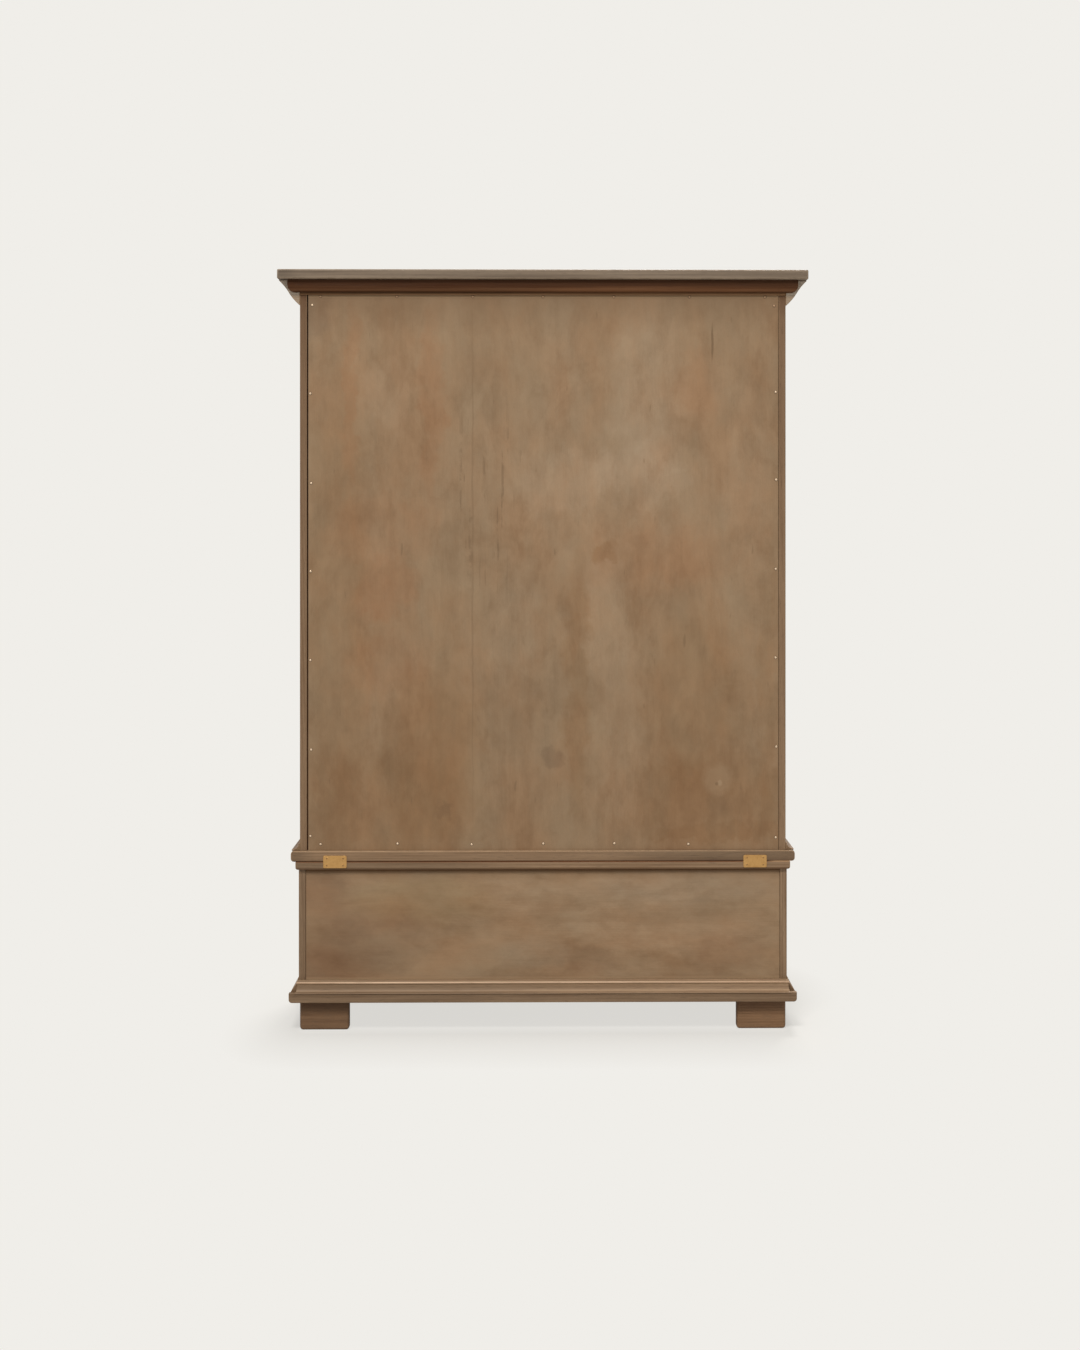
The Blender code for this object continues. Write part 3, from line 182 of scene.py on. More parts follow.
def select_only(piece):
    """Select just this object and make it active."""
    if bpy.context.mode != "OBJECT":
        bpy.ops.object.mode_set(mode="OBJECT")
    bpy.ops.object.select_all(action="DESELECT")
    piece.select_set(True)
    bpy.context.view_layer.objects.active = piece


@contextmanager
def editing(piece):
    """Edit mode on one piece, with everything in it selected, and back to object mode after."""
    select_only(piece)
    bpy.ops.object.mode_set(mode="EDIT")
    bpy.ops.mesh.select_mode(type="FACE")
    bpy.ops.mesh.select_all(action="SELECT")
    yield
    bpy.ops.object.mode_set(mode="OBJECT")


def pick(piece, parts, wanted):
    """In edit mode, select only those faces or edges for which wanted(part) is true."""
    mesh = bmesh.from_edit_mesh(piece.data)
    mesh.normal_update()
    picked = [part for part in getattr(mesh, parts) if wanted(part)]
    for part in getattr(mesh, parts):
        part.select_set(False)
    for part in picked:
        part.select_set(True)
    mesh.select_flush_mode()
    bmesh.update_edit_mesh(piece.data)


def middle_of(face):
    """The middle of a face."""
    return face.calc_center_median()


def looks(face, direction):
    """Whether a face looks straight along a direction."""
    return face.normal.dot(direction) > 0.95


def apply_modifier(piece, modifier):
    """Apply one modifier of a piece."""
    select_only(piece)
    bpy.ops.object.modifier_apply(modifier=modifier.name)


def settle(piece, name):
    """Name a new piece and put its place and turn into its mesh."""
    select_only(piece)
    bpy.ops.object.transform_apply(location=True, rotation=True, scale=True)
    piece.name = name
    piece.data.name = name


def smooth_over(piece, degrees):
    """Smooth shading that stops at edges sharper than the angle."""
    select_only(piece)
    bpy.ops.object.shade_smooth_by_angle(angle=math.radians(degrees))


def copy_piece(pattern, name, place):
    """A copy of a modelled piece with its own mesh, moved or turned by a matrix."""
    piece = bpy.data.objects.new(name, pattern.data.copy())
    piece.data.name = name
    bpy.context.scene.collection.objects.link(piece)
    piece.data.transform(place)
    return piece


# Woods and metal


def deepened(colour, depth):
    """A written colour scaled: below 1 darker, above 1 lighter."""
    return tuple(part * depth for part in colour)


def toned(colour, strength, warmth=0.0):
    """A written colour made lighter or darker, and warmer or cooler, for a shader."""
    red, green, blue = Color(colour).from_srgb_to_scene_linear()
    return (red * strength * (1 + warmth), green * strength, blue * strength * (1 - warmth), 1.0)


class Nodes:
    """A tree of shader nodes in the making, one step after the other."""

    def __init__(self, tree):
        self.tree = tree

    def add(self, kind, feeds=None, **settings):
        """A node with its settings, its sockets fed from other nodes or set to numbers."""
        node = self.tree.nodes.new(kind)
        for setting, value in settings.items():
            setattr(node, setting, value)
        for socket, value in (feeds or {}).items():
            self.feed(node.inputs[socket], value)
        return node

    def feed(self, socket, value):
        """Join a socket to what feeds it, or set its number."""
        if isinstance(value, bpy.types.NodeSocket):
            self.tree.links.new(value, socket)
        else:
            socket.default_value = value

    def reckon(self, operation, first, second=0.0):
        """Arithmetic on two values."""
        node = self.add("ShaderNodeMath", {0: first, 1: second}, operation=operation)
        return node.outputs["Value"]

    def total(self, first, *others):
        """Several values added up."""
        for other in others:
            first = self.reckon("ADD", first, other)
        return first

    def seen_directly(self):
        """1 for what the camera, a mirror or glass sees, 0 for light on its way round."""
        path = self.add("ShaderNodeLightPath").outputs
        return self.total(path["Is Camera Ray"], path["Is Glossy Ray"],
                          path["Is Transmission Ray"])

    def mixed(self, share, first, second):
        """Two shaders mixed, the second one as strongly as the share says."""
        return self.add("ShaderNodeMixShader", {0: share, 1: first, 2: second}).outputs["Shader"]


class Recipe(Nodes):
    """A material in the making."""

    def __init__(self, name):
        self.material = bpy.data.materials.new(name)
        self.material.use_nodes = True
        super().__init__(self.material.node_tree)
        self.shader = self.tree.nodes["Principled BSDF"]
        self.place = self.add("ShaderNodeTexCoord").outputs["Object"]

    def along_grain(self, grain, start):
        """Coordinates in which the grain runs along Z, a few degrees off, begun at start."""
        turn = [math.radians(degrees) for degrees in GRAIN_TURNS[grain]]
        feeds = {"Vector": self.place, "Location": start, "Rotation": turn}
        return self.add("ShaderNodeMapping", feeds).outputs["Vector"]

    def drawn_out(self, point, share):
        """Coordinates in which a pattern is drawn out along Z."""
        feeds = {"Vector": point, "Scale": (1.0, 1.0, share)}
        return self.add("ShaderNodeMapping", feeds).outputs["Vector"]

    def noise(self, point, scale, detail=3.0, roughness=0.5, distortion=0.0, output="Fac"):
        """Cloudy noise from 0 to 1."""
        feeds = {"Vector": point, "Scale": scale, "Detail": detail, "Roughness": roughness,
                 "Distortion": distortion}
        return self.add("ShaderNodeTexNoise", feeds).outputs[output]

    def streaks(self, point, share, *settings):
        """Noise drawn out along Z."""
        return self.noise(self.drawn_out(point, share), *settings)

    def rings(self, point, gap, wander):
        """Yearly rings round Z, rising slowly and falling at once, this far apart."""
        feeds = {"Vector": point, "Scale": math.pi / 10 / gap, "Distortion": wander,
                 "Detail": 3.0, "Detail Scale": 0.06, "Detail Roughness": 0.55}
        node = self.add("ShaderNodeTexWave", feeds, wave_type="RINGS", wave_profile="SAW",
                        rings_direction="Z")
        return node.outputs["Fac"]

    def spread(self, value, low, high, to_low=0.0, to_high=1.0):
        """Stretch the part of a value from low to high over another range."""
        feeds = {"Value": value, "From Min": low, "From Max": high, "To Min": to_low,
                 "To Max": to_high}
        return self.add("ShaderNodeMapRange", feeds).outputs["Result"]

    def dull(self, pattern, low, high):
        """Roughness from low to high that follows a pattern."""
        return self.spread(pattern, 0.2, 0.8, low, high)

    def shades(self, value, **stops):
        """Colours along a value, each stop named for its tone, as (place, colour)."""
        node = self.add("ShaderNodeValToRGB", {"Fac": value})
        ramp = node.color_ramp
        ordered = sorted(stops.values(), key=lambda stop: stop[0])
        while len(ramp.elements) < len(ordered):
            ramp.elements.new(1.0)
        for element, (place, colour) in zip(ramp.elements, ordered):
            element.position = place
            element.color = colour
        return node.outputs["Color"]

    def laid_over(self, colour, other, amount, blend="MIX"):
        """One colour laid over another, as strongly as amount says."""
        node = self.add("ShaderNodeMix", data_type="RGBA", blend_type=blend)
        for socket, value in ((0, amount), (6, colour), (7, other)):
            self.feed(node.inputs[socket], value)
        return node.outputs[2]

    def masked(self, colour, other, mask, amount, blend="MIX"):
        """One colour laid over another where a mask lets it, no more strongly than amount."""
        return self.laid_over(colour, other, self.reckon("MULTIPLY", mask, amount), blend)

    def ragged(self, point, reach, scale):
        """Coordinates pushed about by noise, so that a patch has no plain outline."""
        push = self.noise(point, scale, 4.0, 0.6, output="Color")
        centred = self.add("ShaderNodeVectorMath", {0: push, 1: (0.5, 0.5, 0.5)},
                           operation="SUBTRACT")
        moved = self.add("ShaderNodeVectorMath", {0: centred.outputs["Vector"], 1: reach, 2: point},
                         operation="MULTIPLY_ADD")
        return moved.outputs["Vector"]

    def height(self):
        """Height above the floor."""
        return self.add("ShaderNodeSeparateXYZ", {"Vector": self.place}).outputs["Z"]

    def darkened_by_height(self, colour, other, untouched, darkest, amount):
        """Another colour that comes in over a colour from one height to another."""
        return self.laid_over(colour, other, self.spread(self.height(), untouched, darkest, 0.0, amount))

    def darkened_in_layers(self, colour, wood, grime):
        """Darker layers over a wood, each as its untouched height, its darkest height and its
        amount. Most of them are painted shade under overhangs, in recesses and in hollows.
        """
        for layer in grime:
            colour = self.darkened_by_height(colour, toned(wood, 0.22, 0.50), *layer)
        return colour

    def rubbed(self, colour, other, middle, reach, amount):
        """A soft level line of a lighter colour: painted light, as a highlight along an edge and as
        a lift for a band in shade.
        """
        away = self.reckon("ABSOLUTE", self.reckon("SUBTRACT", self.height(), middle))
        return self.laid_over(colour, other, self.spread(away, 0.0, reach, amount, 0.0))

    def patch(self, point, centre, reach):
        """A soft spot, 1 in its middle and 0 from reach on, at a place on the panel."""
        across, up = centre
        wide, tall = reach
        feeds = {"Vector": point, "Location": (-across / wide, 0.0, -up / tall),
                 "Scale": (1 / wide, 0.0, 1 / tall)}
        placed = self.add("ShaderNodeMapping", feeds).outputs["Vector"]
        spot = self.add("ShaderNodeTexGradient", {"Vector": placed}, gradient_type="SPHERICAL")
        return self.spread(spot.outputs["Fac"], 0.02, 0.45)

    def spotted(self, colour, other, amount, point, centre, reach, blend="MIX"):
        """One colour laid over another in a soft spot."""
        return self.masked(colour, other, self.patch(point, centre, reach), amount, blend)

    def surface(self, colour, roughness, height, relief, metallic=0.0, gloss=0.5):
        """Feed the shader, and hand over the finished material."""
        feeds = {"Strength": 0.6, "Distance": relief, "Height": height}
        bump = self.add("ShaderNodeBump", feeds).outputs["Normal"]
        for socket, value in (("Base Color", colour), ("Roughness", roughness),
                              ("Metallic", metallic), ("Specular IOR Level", gloss),
                              ("Normal", bump)):
            self.feed(self.shader.inputs[socket], value)
        return self.material


def begun_at(name):
    """A place in the tree that differs from board to board, worked out from the board's name."""
    total = sum((step + 3) * ord(letter) for step, letter in enumerate(name))
    return (0.05 + 0.011 * (total % 17), 0.04 + 0.013 * (total % 11), 0.37 * (total % 13))


def board_wood(name, colour, grain, ring_gap=0.0075, figure=0.34, streaks=0.3, cloud=0.1,
               dullness=0.56, warmth=0.05, gloss=0.3, grime=(), rubs=(), washes=()):
    """Stained solid wood: yearly rings, long streaks, open pores and uneven stain.

    A darkening layer, mostly painted shade, is an untouched height, a darkest height and an amount.
    A highlight line, painted light, is a height, a reach and an amount. A wash is a centre, a reach
    and the share of light that it leaves.
    """
    recipe = Recipe(name)
    across, deep, along = begun_at(name)
    start = {ACROSS: (along, across, deep), DEEP: (across, along, deep),
             UPRIGHT: (across, deep, along)}[grain]
    board = recipe.along_grain(grain, start)
    rings = recipe.rings(recipe.drawn_out(board, 0.1), ring_gap, 5.0)
    streak = recipe.streaks(board, 0.03, 70.0, 4.0, 0.62)
    fibre = recipe.streaks(board, 0.018, 420.0, 3.0, 0.6)
    pore = recipe.streaks(board, 0.04, 900.0, 1.0, 0.4)
    clouds = recipe.streaks(board, 0.4, 5.0, 4.0, 0.55)
    plain = recipe.streaks(board, 0.12, 9.0, 3.0, 0.5)
    figured = recipe.spread(plain, 0.36, 0.62, -0.25 * figure, -1.15 * figure)
    tone = recipe.total(
        recipe.reckon("MULTIPLY", recipe.spread(rings, 0.35, 1.0), figured),
        recipe.spread(streak, 0.3, 0.7, -streaks, streaks),
        recipe.spread(fibre, 0.25, 0.75, -0.14, 0.14),
        0.5 + figure * 0.3,
    )
    shade = recipe.shades(
        tone,
        deep=(0.0, toned(colour, 0.55, warmth * 1.6)),
        dark=(0.3, toned(colour, 0.8, warmth)),
        middle=(0.55, toned(colour, 1.0)),
        light=(1.0, toned(colour, 1.3, -warmth * 0.6)),
    )
    uneven = recipe.shades(
        clouds,
        low=(0.28, toned(WHITE, 1 - cloud * 1.5, 0.015)),
        high=(0.72, toned(WHITE, 1 + cloud, -0.015)),
    )
    shade = recipe.laid_over(shade, uneven, 1.0, "MULTIPLY")
    pores = recipe.spread(pore, 0.6, 0.74)
    shade = recipe.masked(shade, toned(colour, 0.42, warmth), pores, 0.45)
    shade = recipe.darkened_in_layers(shade, colour, grime)
    for rub in rubs:
        shade = recipe.rubbed(shade, toned(colour, 1.9, -0.04), *rub)
    for centre, reach, share in washes:
        spot = recipe.patch(recipe.place, centre, reach)
        shade = recipe.laid_over(shade, (share, share, share, 1.0), spot, "MULTIPLY")
    hollow = recipe.reckon("SUBTRACT", fibre, recipe.reckon("MULTIPLY", pores, 0.9))
    roughness = recipe.dull(fibre, dullness - 0.06, dullness + 0.1)
    return recipe.surface(shade, roughness, hollow, 0.00045, gloss=gloss)


def wear_highlight_wood(name, colour, lift=1.32, grime=()):
    """The edge of a board, where the stain has thinned with wear, made lighter as a painted
    highlight.
    """
    recipe = Recipe(name)
    fine = recipe.noise(recipe.place, 240.0, 2.0, 0.6)
    shade = recipe.shades(
        recipe.noise(recipe.place, 38.0, 5.0, 0.7),
        kept=(0.36, toned(colour, 0.98, 0.03)),
        thin=(0.52, toned(colour, (1 + lift) / 2)),
        bare=(0.7, toned(colour, lift, -0.02)),
    )
    shade = recipe.darkened_in_layers(shade, colour, grime)
    return recipe.surface(shade, recipe.dull(fine, 0.46, 0.6), fine, 0.0002, gloss=0.3)


def end_wood(name, colour, strength=0.78, grime=()):
    """Cut ends of a board: they drink more stain, and show pores and rings."""
    recipe = Recipe(name)
    rings = recipe.rings(recipe.along_grain(ACROSS, (0.0, 0.11, 0.09)), 0.006, 2.5)
    pore = recipe.noise(recipe.place, 900.0, 2.0, 0.6)
    clouds = recipe.noise(recipe.place, 30.0, 3.0, 0.6)
    shade = recipe.shades(
        recipe.total(*(recipe.reckon("MULTIPLY", part, 0.5) for part in (rings, clouds))),
        light=(0.2, toned(colour, strength * 1.15)),
        dark=(0.8, toned(colour, strength * 0.8, 0.05)),
    )
    pores = recipe.spread(pore, 0.55, 0.75)
    shade = recipe.laid_over(shade, toned(colour, strength * 0.55, 0.05), pores)
    shade = recipe.darkened_in_layers(shade, colour, grime)
    solid = recipe.reckon("SUBTRACT", 1.0, pores)
    return recipe.surface(shade, recipe.dull(pore, 0.62, 0.74), solid, 0.0003, gloss=0.2)


def aged_brass(name, colour, polish=0.3, tarnish=0.5):
    """Brass with a warm, uneven tarnish, fine scratches and darker spots."""
    recipe = Recipe(name)
    scratch = recipe.streaks(recipe.place, 0.05, 900.0, 2.0, 0.5)
    spots = recipe.noise(recipe.place, 210.0, 3.0, 0.7)
    shade = recipe.shades(
        recipe.noise(recipe.place, 70.0, 5.0, 0.65),
        dark=(0.25, toned(colour, 1 - 0.45 * tarnish, 0.06)),
        middle=(0.5, toned(colour, 1.0)),
        bright=(0.75, toned(colour, 1.12, -0.02)),
    )
    specks = recipe.reckon("MULTIPLY", recipe.spread(spots, 0.6, 0.72), tarnish)
    shade = recipe.laid_over(shade, toned(colour, 0.3, 0.12), specks)
    roughness = recipe.total(recipe.dull(scratch, polish - 0.06, polish + 0.1),
                             recipe.reckon("MULTIPLY", specks, 0.25))
    return recipe.surface(shade, roughness, scratch, 0.00005, metallic=1.0)


def ply_ground(recipe, colour, grain, start):
    """The even part of a plywood face: cloudy wash, soft mottles, faint figure and fibres."""
    sheet = recipe.along_grain(grain, start)
    broad = recipe.streaks(sheet, 0.55, 4.2, 6.0, 0.58)
    mottle = recipe.streaks(sheet, 0.6, 24.0, 6.0, 0.66)
    blotch = recipe.streaks(sheet, 0.45, 8.5, 7.0, 0.62, 0.6)
    streak = recipe.streaks(sheet, 0.05, 52.0, 4.0, 0.6)
    fibre = recipe.streaks(sheet, 0.03, 480.0, 3.0, 0.6)
    shade = recipe.shades(
        recipe.total(recipe.spread(broad, 0.3, 0.7, -0.22, 0.22),
                     recipe.spread(mottle, 0.28, 0.72, -0.22, 0.22),
                     recipe.spread(blotch, 0.47, 0.55, -0.09, 0.09),
                     recipe.spread(streak, 0.28, 0.72, -0.07, 0.07),
                     recipe.spread(fibre, 0.25, 0.75, 0.43, 0.57)),
        dark=(0.1, toned(colour, 0.78, 0.05)),
        middle=(0.5, toned(colour, 1.0)),
        light=(0.9, toned(colour, 1.17, -0.02)),
    )
    hue = recipe.shades(
        recipe.streaks(sheet, 0.5, 9.0, 5.0, 0.6),
        rusty=(0.36, (1.035, 0.985, 0.95, 1.0)),
        plain=(0.5, (1.0, 1.0, 1.0, 1.0)),
        greyed=(0.64, (0.965, 1.005, 1.035, 1.0)),
    )
    return recipe.laid_over(shade, hue, 1.0, "MULTIPLY"), fibre, streak


class PlyFace(Recipe):
    """The face of a back panel in the making, with the patches that its wash left.

    Each push, a reach and a scale, makes the outlines of the patches more ragged.
    """

    def __init__(self, name, colour, grain, start, *pushes):
        super().__init__(name)
        self.shade, self.fibre, self.streak = ply_ground(self, colour, grain, start)
        self.loose = self.place
        for reach, scale in pushes:
            self.loose = self.ragged(self.loose, reach, scale)

    def wash(self, tint, amount, centre, reach):
        """Lay one ragged patch of another tint over the face."""
        self.shade = self.spotted(self.shade, tint, amount, self.loose, centre, reach, "MULTIPLY")

    def finished(self):
        """The material, raised a little along its fibres and streaks."""
        height = self.total(self.fibre, self.reckon("MULTIPLY", self.streak, 0.6))
        return self.surface(self.shade, self.dull(self.fibre, 0.62, 0.78), height, 0.0004,
                            gloss=0.2)


def upper_ply(name, colour):
    """Face of the upper back panel, with each patch of its wash in its place."""
    face = PlyFace(name, colour, UPRIGHT, (0.31, 0.07, 0.52),
                   ((0.11, 0.0, 0.15), 8.0), ((0.035, 0.0, 0.07), 36.0))
    rust = (1.02, 0.915, 0.855, 1.0)
    brown = (0.9, 0.84, 0.77, 1.0)
    pale = (1.13, 1.17, 1.23, 1.0)
    grey = (0.96, 0.995, 1.03, 1.0)
    umber = (0.7, 0.73, 0.8, 1.0)
    smoke = (0.69, 0.67, 0.69, 1.0)
    for tint, amount, centre, reach in (
            (pale, 0.85, (-0.277, 1.66), (0.12, 0.29)),
            (pale, 0.75, (-0.06, 1.41), (0.17, 0.11)),
            (pale, 0.8, (-0.25, 1.425), (0.14, 0.09)),
            (pale, 0.75, (-0.165, 1.06), (0.075, 0.2)),
            (pale, 0.55, (-0.2, 0.74), (0.07, 0.29)),
            (pale, 0.55, (0.395, 1.64), (0.09, 0.11)),
            (rust, 0.65, (0.42, 1.29), (0.17, 0.12)),
            (rust, 1.0, (0.4, 1.14), (0.095, 0.095)),
            (rust, 0.6, (0.395, 0.95), (0.14, 0.1)),
            (rust, 0.7, (0.285, 1.6), (0.036, 0.33)),
            (rust, 0.6, (0.497, 1.65), (0.024, 0.33)),
            (rust, 0.6, (-0.285, 1.225), (0.22, 0.12)),
            (rust, 0.45, (-0.405, 1.665), (0.08, 0.11)),
            (brown, 0.8, (0.28, 0.68), (0.16, 0.29)),
            (brown, 0.75, (0.4, 0.58), (0.28, 0.2)),
            (brown, 0.85, (-0.395, 0.84), (0.16, 0.32)),
            (brown, 0.75, (-0.44, 0.58), (0.28, 0.17)),
            (brown, 0.7, (-0.088, 0.86), (0.04, 0.44)),
            (brown, 0.9, (-0.153, 1.232), (0.046, 0.03)),
            (grey, 0.6, (0.56, 1.15), (0.09, 0.9)),
            (grey, 0.6, (0.06, 0.9), (0.16, 0.37)),
            (smoke, 0.45, (-0.019, 0.708), (0.034, 0.034)),
            (smoke, 0.4, (0.262, 0.559), (0.034, 0.024)),
            # painted shade along the panel's side edge
            (brown, 0.8, (0.535, 1.1), (0.11, 0.78)),
            # painted shade in the panel's top corner
            (umber, 0.45, (0.6, 1.86), (0.06, 0.09)),
            (pale, 0.38, (-0.1, 1.42), (0.45, 0.3)),
            (pale, 0.4, (-0.525, 1.42), (0.07, 0.33)),
            # painted shade along the panel's other side edge
            (brown, 0.5, (-0.585, 0.85), (0.035, 0.45)),
            (brown, 0.35, (0.26, 0.85), (0.07, 0.4)),
            (brown, 0.5, (-0.46, 0.505), (0.25, 0.03)),
            (pale, 0.35, (0.075, 1.02), (0.08, 0.22)),
            (pale, 0.35, (-0.05, 1.75), (0.06, 0.2)),
            (pale, 0.4, (-0.46, 0.71), (0.05, 0.07))):
        face.wash(tint, amount, centre, reach)
    split_lines(face, colour)
    pin_knot(face, colour, across=-0.451, up=0.646)
    # Painted shade darkens the panel toward the rail, and a narrow band of painted light just under
    # the rail lifts the real shadow there.
    shade = face.darkened_by_height(face.shade, toned(colour, 0.45, 0.1), RAIL_FOOT - 0.11,
                        RAIL_FOOT - 0.012, 0.4)
    face.shade = face.rubbed(shade, toned(colour, 1.28), RAIL_FOOT - 0.0035, 0.0048, 0.75)
    return face.finished()


def split_lines(face, colour):
    """Thin dark upright lines where the veneer has opened, and short nicks all over."""
    swaying = face.ragged(face.place, (0.01, 0.0, 0.02), 14.0)
    fine = face.streaks(swaying, 0.03, 105.0, 2.0, 0.45)
    broken = face.spread(face.noise(face.place, 26.0, 3.0, 0.6), 0.44, 0.56)
    lines = face.reckon("MULTIPLY", face.spread(fine, 0.59, 0.64), broken)
    lines = face.reckon("MULTIPLY", lines, face.patch(swaying, (0.15, 1.38), (0.11, 0.33)))
    shade = face.masked(face.shade, toned(colour, 0.48, 0.05), lines, 0.42)
    seam, crack = toned(colour, 0.62, 0.03), toned(colour, 0.42, 0.1)
    shade = face.spotted(shade, seam, 0.32, swaying, (0.182, 1.24), (0.0032, 0.8))
    shade = face.spotted(shade, crack, 0.6, swaying, (-0.437, 1.775), (0.0036, 0.06))
    nicks = face.spread(face.streaks(face.place, 0.22, 75.0, 1.0, 0.4), 0.735, 0.79)
    face.shade = face.masked(shade, toned(colour, 0.58, 0.05), nicks, 0.45)


def pin_knot(face, colour, across, up):
    """A pin knot: a dark pin beside a fleck in a pale halo, over a dark smudge."""
    loose = face.ragged(face.place, (0.022, 0.0, 0.022), 55.0)
    smudge, halo = toned(colour, 0.6, 0.04), toned(colour, 1.22, -0.04)
    pin, fleck = toned(colour, 0.62, 0.06), toned(colour, 1.45, -0.08)
    for tint, amount, point, centre, reach in (
            (smudge, 0.26, loose, (across, up - 0.066), (0.032, 0.042)),
            (halo, 0.44, loose, (across, up), (0.048, 0.05)),
            (pin, 0.65, face.place, (across + 0.002, up - 0.012), (0.006, 0.005)),
            (fleck, 0.48, face.place, (across - 0.006, up - 0.01), (0.007, 0.01))):
        face.shade = face.spotted(face.shade, tint, amount, point, centre, reach)


def chest_ply(name, colour):
    """Face of the chest's back panel, whose grain lies across."""
    colour = deepened(colour, 1.025)
    face = PlyFace(name, colour, ACROSS, (0.83, 0.12, 0.21),
                   ((0.14, 0.0, 0.07), 9.0), ((0.04, 0.0, 0.025), 40.0))
    pale = (1.11, 1.125, 1.15, 1.0)
    cool = (0.985, 1.035, 1.1, 1.0)
    brown = (0.88, 0.855, 0.85, 1.0)
    straw = (1.04, 1.04, 0.97, 1.0)
    for tint, amount, centre, reach in (
            (pale, 1.0, (-0.12, 0.345), (0.43, 0.07)),
            (cool, 0.8, (-0.38, 0.365), (0.33, 0.055)),
            (pale, 0.85, (-0.33, 0.265), (0.4, 0.08)),
            (straw, 0.7, (0.32, 0.335), (0.23, 0.07)),
            (brown, 0.55, (0.56, 0.35), (0.13, 0.08)),
            (brown, 0.95, (0.46, 0.245), (0.22, 0.11)),
            (brown, 0.95, (0.56, 0.155), (0.23, 0.09)),
            (brown, 0.75, (-0.12, 0.18), (0.11, 0.042)),
            (brown, 0.75, (-0.48, 0.2), (0.13, 0.06)),
            (cool, 0.65, (0.02, 0.19), (0.12, 0.05)),
            (pale, 0.6, (-0.15, 0.145), (0.33, 0.035)),
            (brown, 0.9, (0.575, 0.15), (0.13, 0.065)),
            (brown, 0.9, (0.57, 0.365), (0.11, 0.065)),
            (brown, 0.9, (0.5, 0.256), (0.065, 0.048)),
            (pale, 0.55, (-0.29, 0.245), (0.3, 0.05)),
            (pale, 0.55, (0.045, 0.275), (0.16, 0.16)),
            (brown, 0.4, (0.52, 0.392), (0.16, 0.03))):
        face.wash(tint, amount, centre, reach)
    base_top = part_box("base_moulding_back")[1].z
    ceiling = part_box("chest_top_board")[0].z
    # Painted light along the panel's foot lifts the shade above the moulding; painted shade darkens
    # its top under the chest's top board, deepest in a line close under it.
    shade = face.rubbed(face.shade, toned(colour, 1.35), base_top + 0.001, 0.007, 0.7)
    shade = face.darkened_by_height(shade, toned(colour, 0.4, 0.06), ceiling - 0.03, ceiling, 0.35)
    face.shade = face.darkened_by_height(shade, toned(colour, 0.2, 0.6), ceiling - 0.0095, ceiling - 0.003,
                             0.82)
    return face.finished()


def plain_ply(name, colour):
    """Plywood out of sight, such as the drawer's bottom."""
    recipe = Recipe(name)
    shade, fibre, streak = ply_ground(recipe, colour, ACROSS, begun_at(name))
    return recipe.surface(shade, recipe.dull(streak, 0.64, 0.76), fibre, 0.0004, gloss=0.2)


def two_toned(name, fineness, dark, light, roughness, relief=0.0002, lightened=None, **metal):
    """A specked material between two shades, each a place on the noise and a colour."""
    recipe = Recipe(name)
    specks = recipe.noise(recipe.place, fineness, 3.0, 0.6)
    shade = recipe.shades(specks, dark=dark, light=light)
    if lightened:
        shade = lightened(recipe, shade)
    return recipe.surface(shade, recipe.dull(specks, *roughness), specks, relief, **metal)


def seam_dirt(name, dark, untouched):
    """Dirt in the seam below the waist; past the plate on the left side the seam takes a colour
    well above the stain instead, painted light that hides the seam's real shade.
    """
    def lightened(recipe, shade):
        """Wood lifted well above the stain from the outer end of the plate on: painted light over
        the seam's shade.
        """
        across = recipe.add("ShaderNodeSeparateXYZ", {"Vector": recipe.place}).outputs["X"]
        plate_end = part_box("mending_plate_left")[0].x
        beyond = recipe.spread(across, plate_end + 0.002, plate_end - 0.022)
        return recipe.laid_over(shade, toned(untouched, 1.6, 0.04), beyond)

    return two_toned(name, 300.0, dark=(0.3, toned(dark, 0.5, 0.1)),
                     light=(0.7, toned(dark, 0.72, 0.05)), roughness=(0.7, 0.8), lightened=lightened,
                     gloss=0.2)


def bruised_ply(name, colour):
    """The dark ring round a nail, crushed wood darkened further as a painted shadow, and the darker
    colour in a screw's cross, dirt together with painted shade.
    """
    return two_toned(name, 600.0, dark=(0.3, toned(colour, 0.3, 0.08)),
                     light=(0.7, toned(colour, 0.52, 0.04)), roughness=(0.7, 0.85))


def dulled_steel(name, colour):
    """Pale steel of the nails, dulled and specked."""
    return two_toned(name, 500.0, dark=(0.3, toned(colour, 0.72, 0.03)),
                     light=(0.65, toned(colour, 1.08)), roughness=(0.32, 0.5), relief=0.00005,
                     metallic=0.3)


def kept(name, make, *settings, **more_settings):
    """A material that several boards share, made the first time it is asked for."""
    return bpy.data.materials.get(name) or make(name, *settings, **more_settings)


# Boards


def body_of(node):
    """The body that a CAD node rides on."""
    return frame["nodes"][node]["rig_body"]


def merged_copy(node, name):
    """A CAD node's shape as a piece of its own, with its loose triangles joined into faces."""
    piece = bpy.data.objects.new(name, frame["nodes"][node].data.copy())
    bpy.context.scene.collection.objects.link(piece)
    piece.data.name = name
    piece.data.materials.clear()
    select_only(piece)
    bpy.ops.mesh.customdata_custom_splitnormals_clear()
    with editing(piece):
        bpy.ops.mesh.remove_doubles(threshold=WELD_DISTANCE)
        bpy.ops.mesh.dissolve_limited(angle_limit=math.radians(0.5))
    return piece


def coat_node(node, material):
    """Give a CAD node that stays as it is a finish of its own."""
    for holder in frame["nodes"][node].material_slots:
        holder.material = material


def paint_faces(piece, material, wanted):
    """Give the faces for which wanted(face) is true a material of their own."""
    piece.data.materials.append(material)
    mark = len(piece.data.materials) - 1
    with editing(piece):
        pick(piece, "faces", wanted)
        piece.active_material_index = mark
        bpy.ops.object.material_slot_assign()


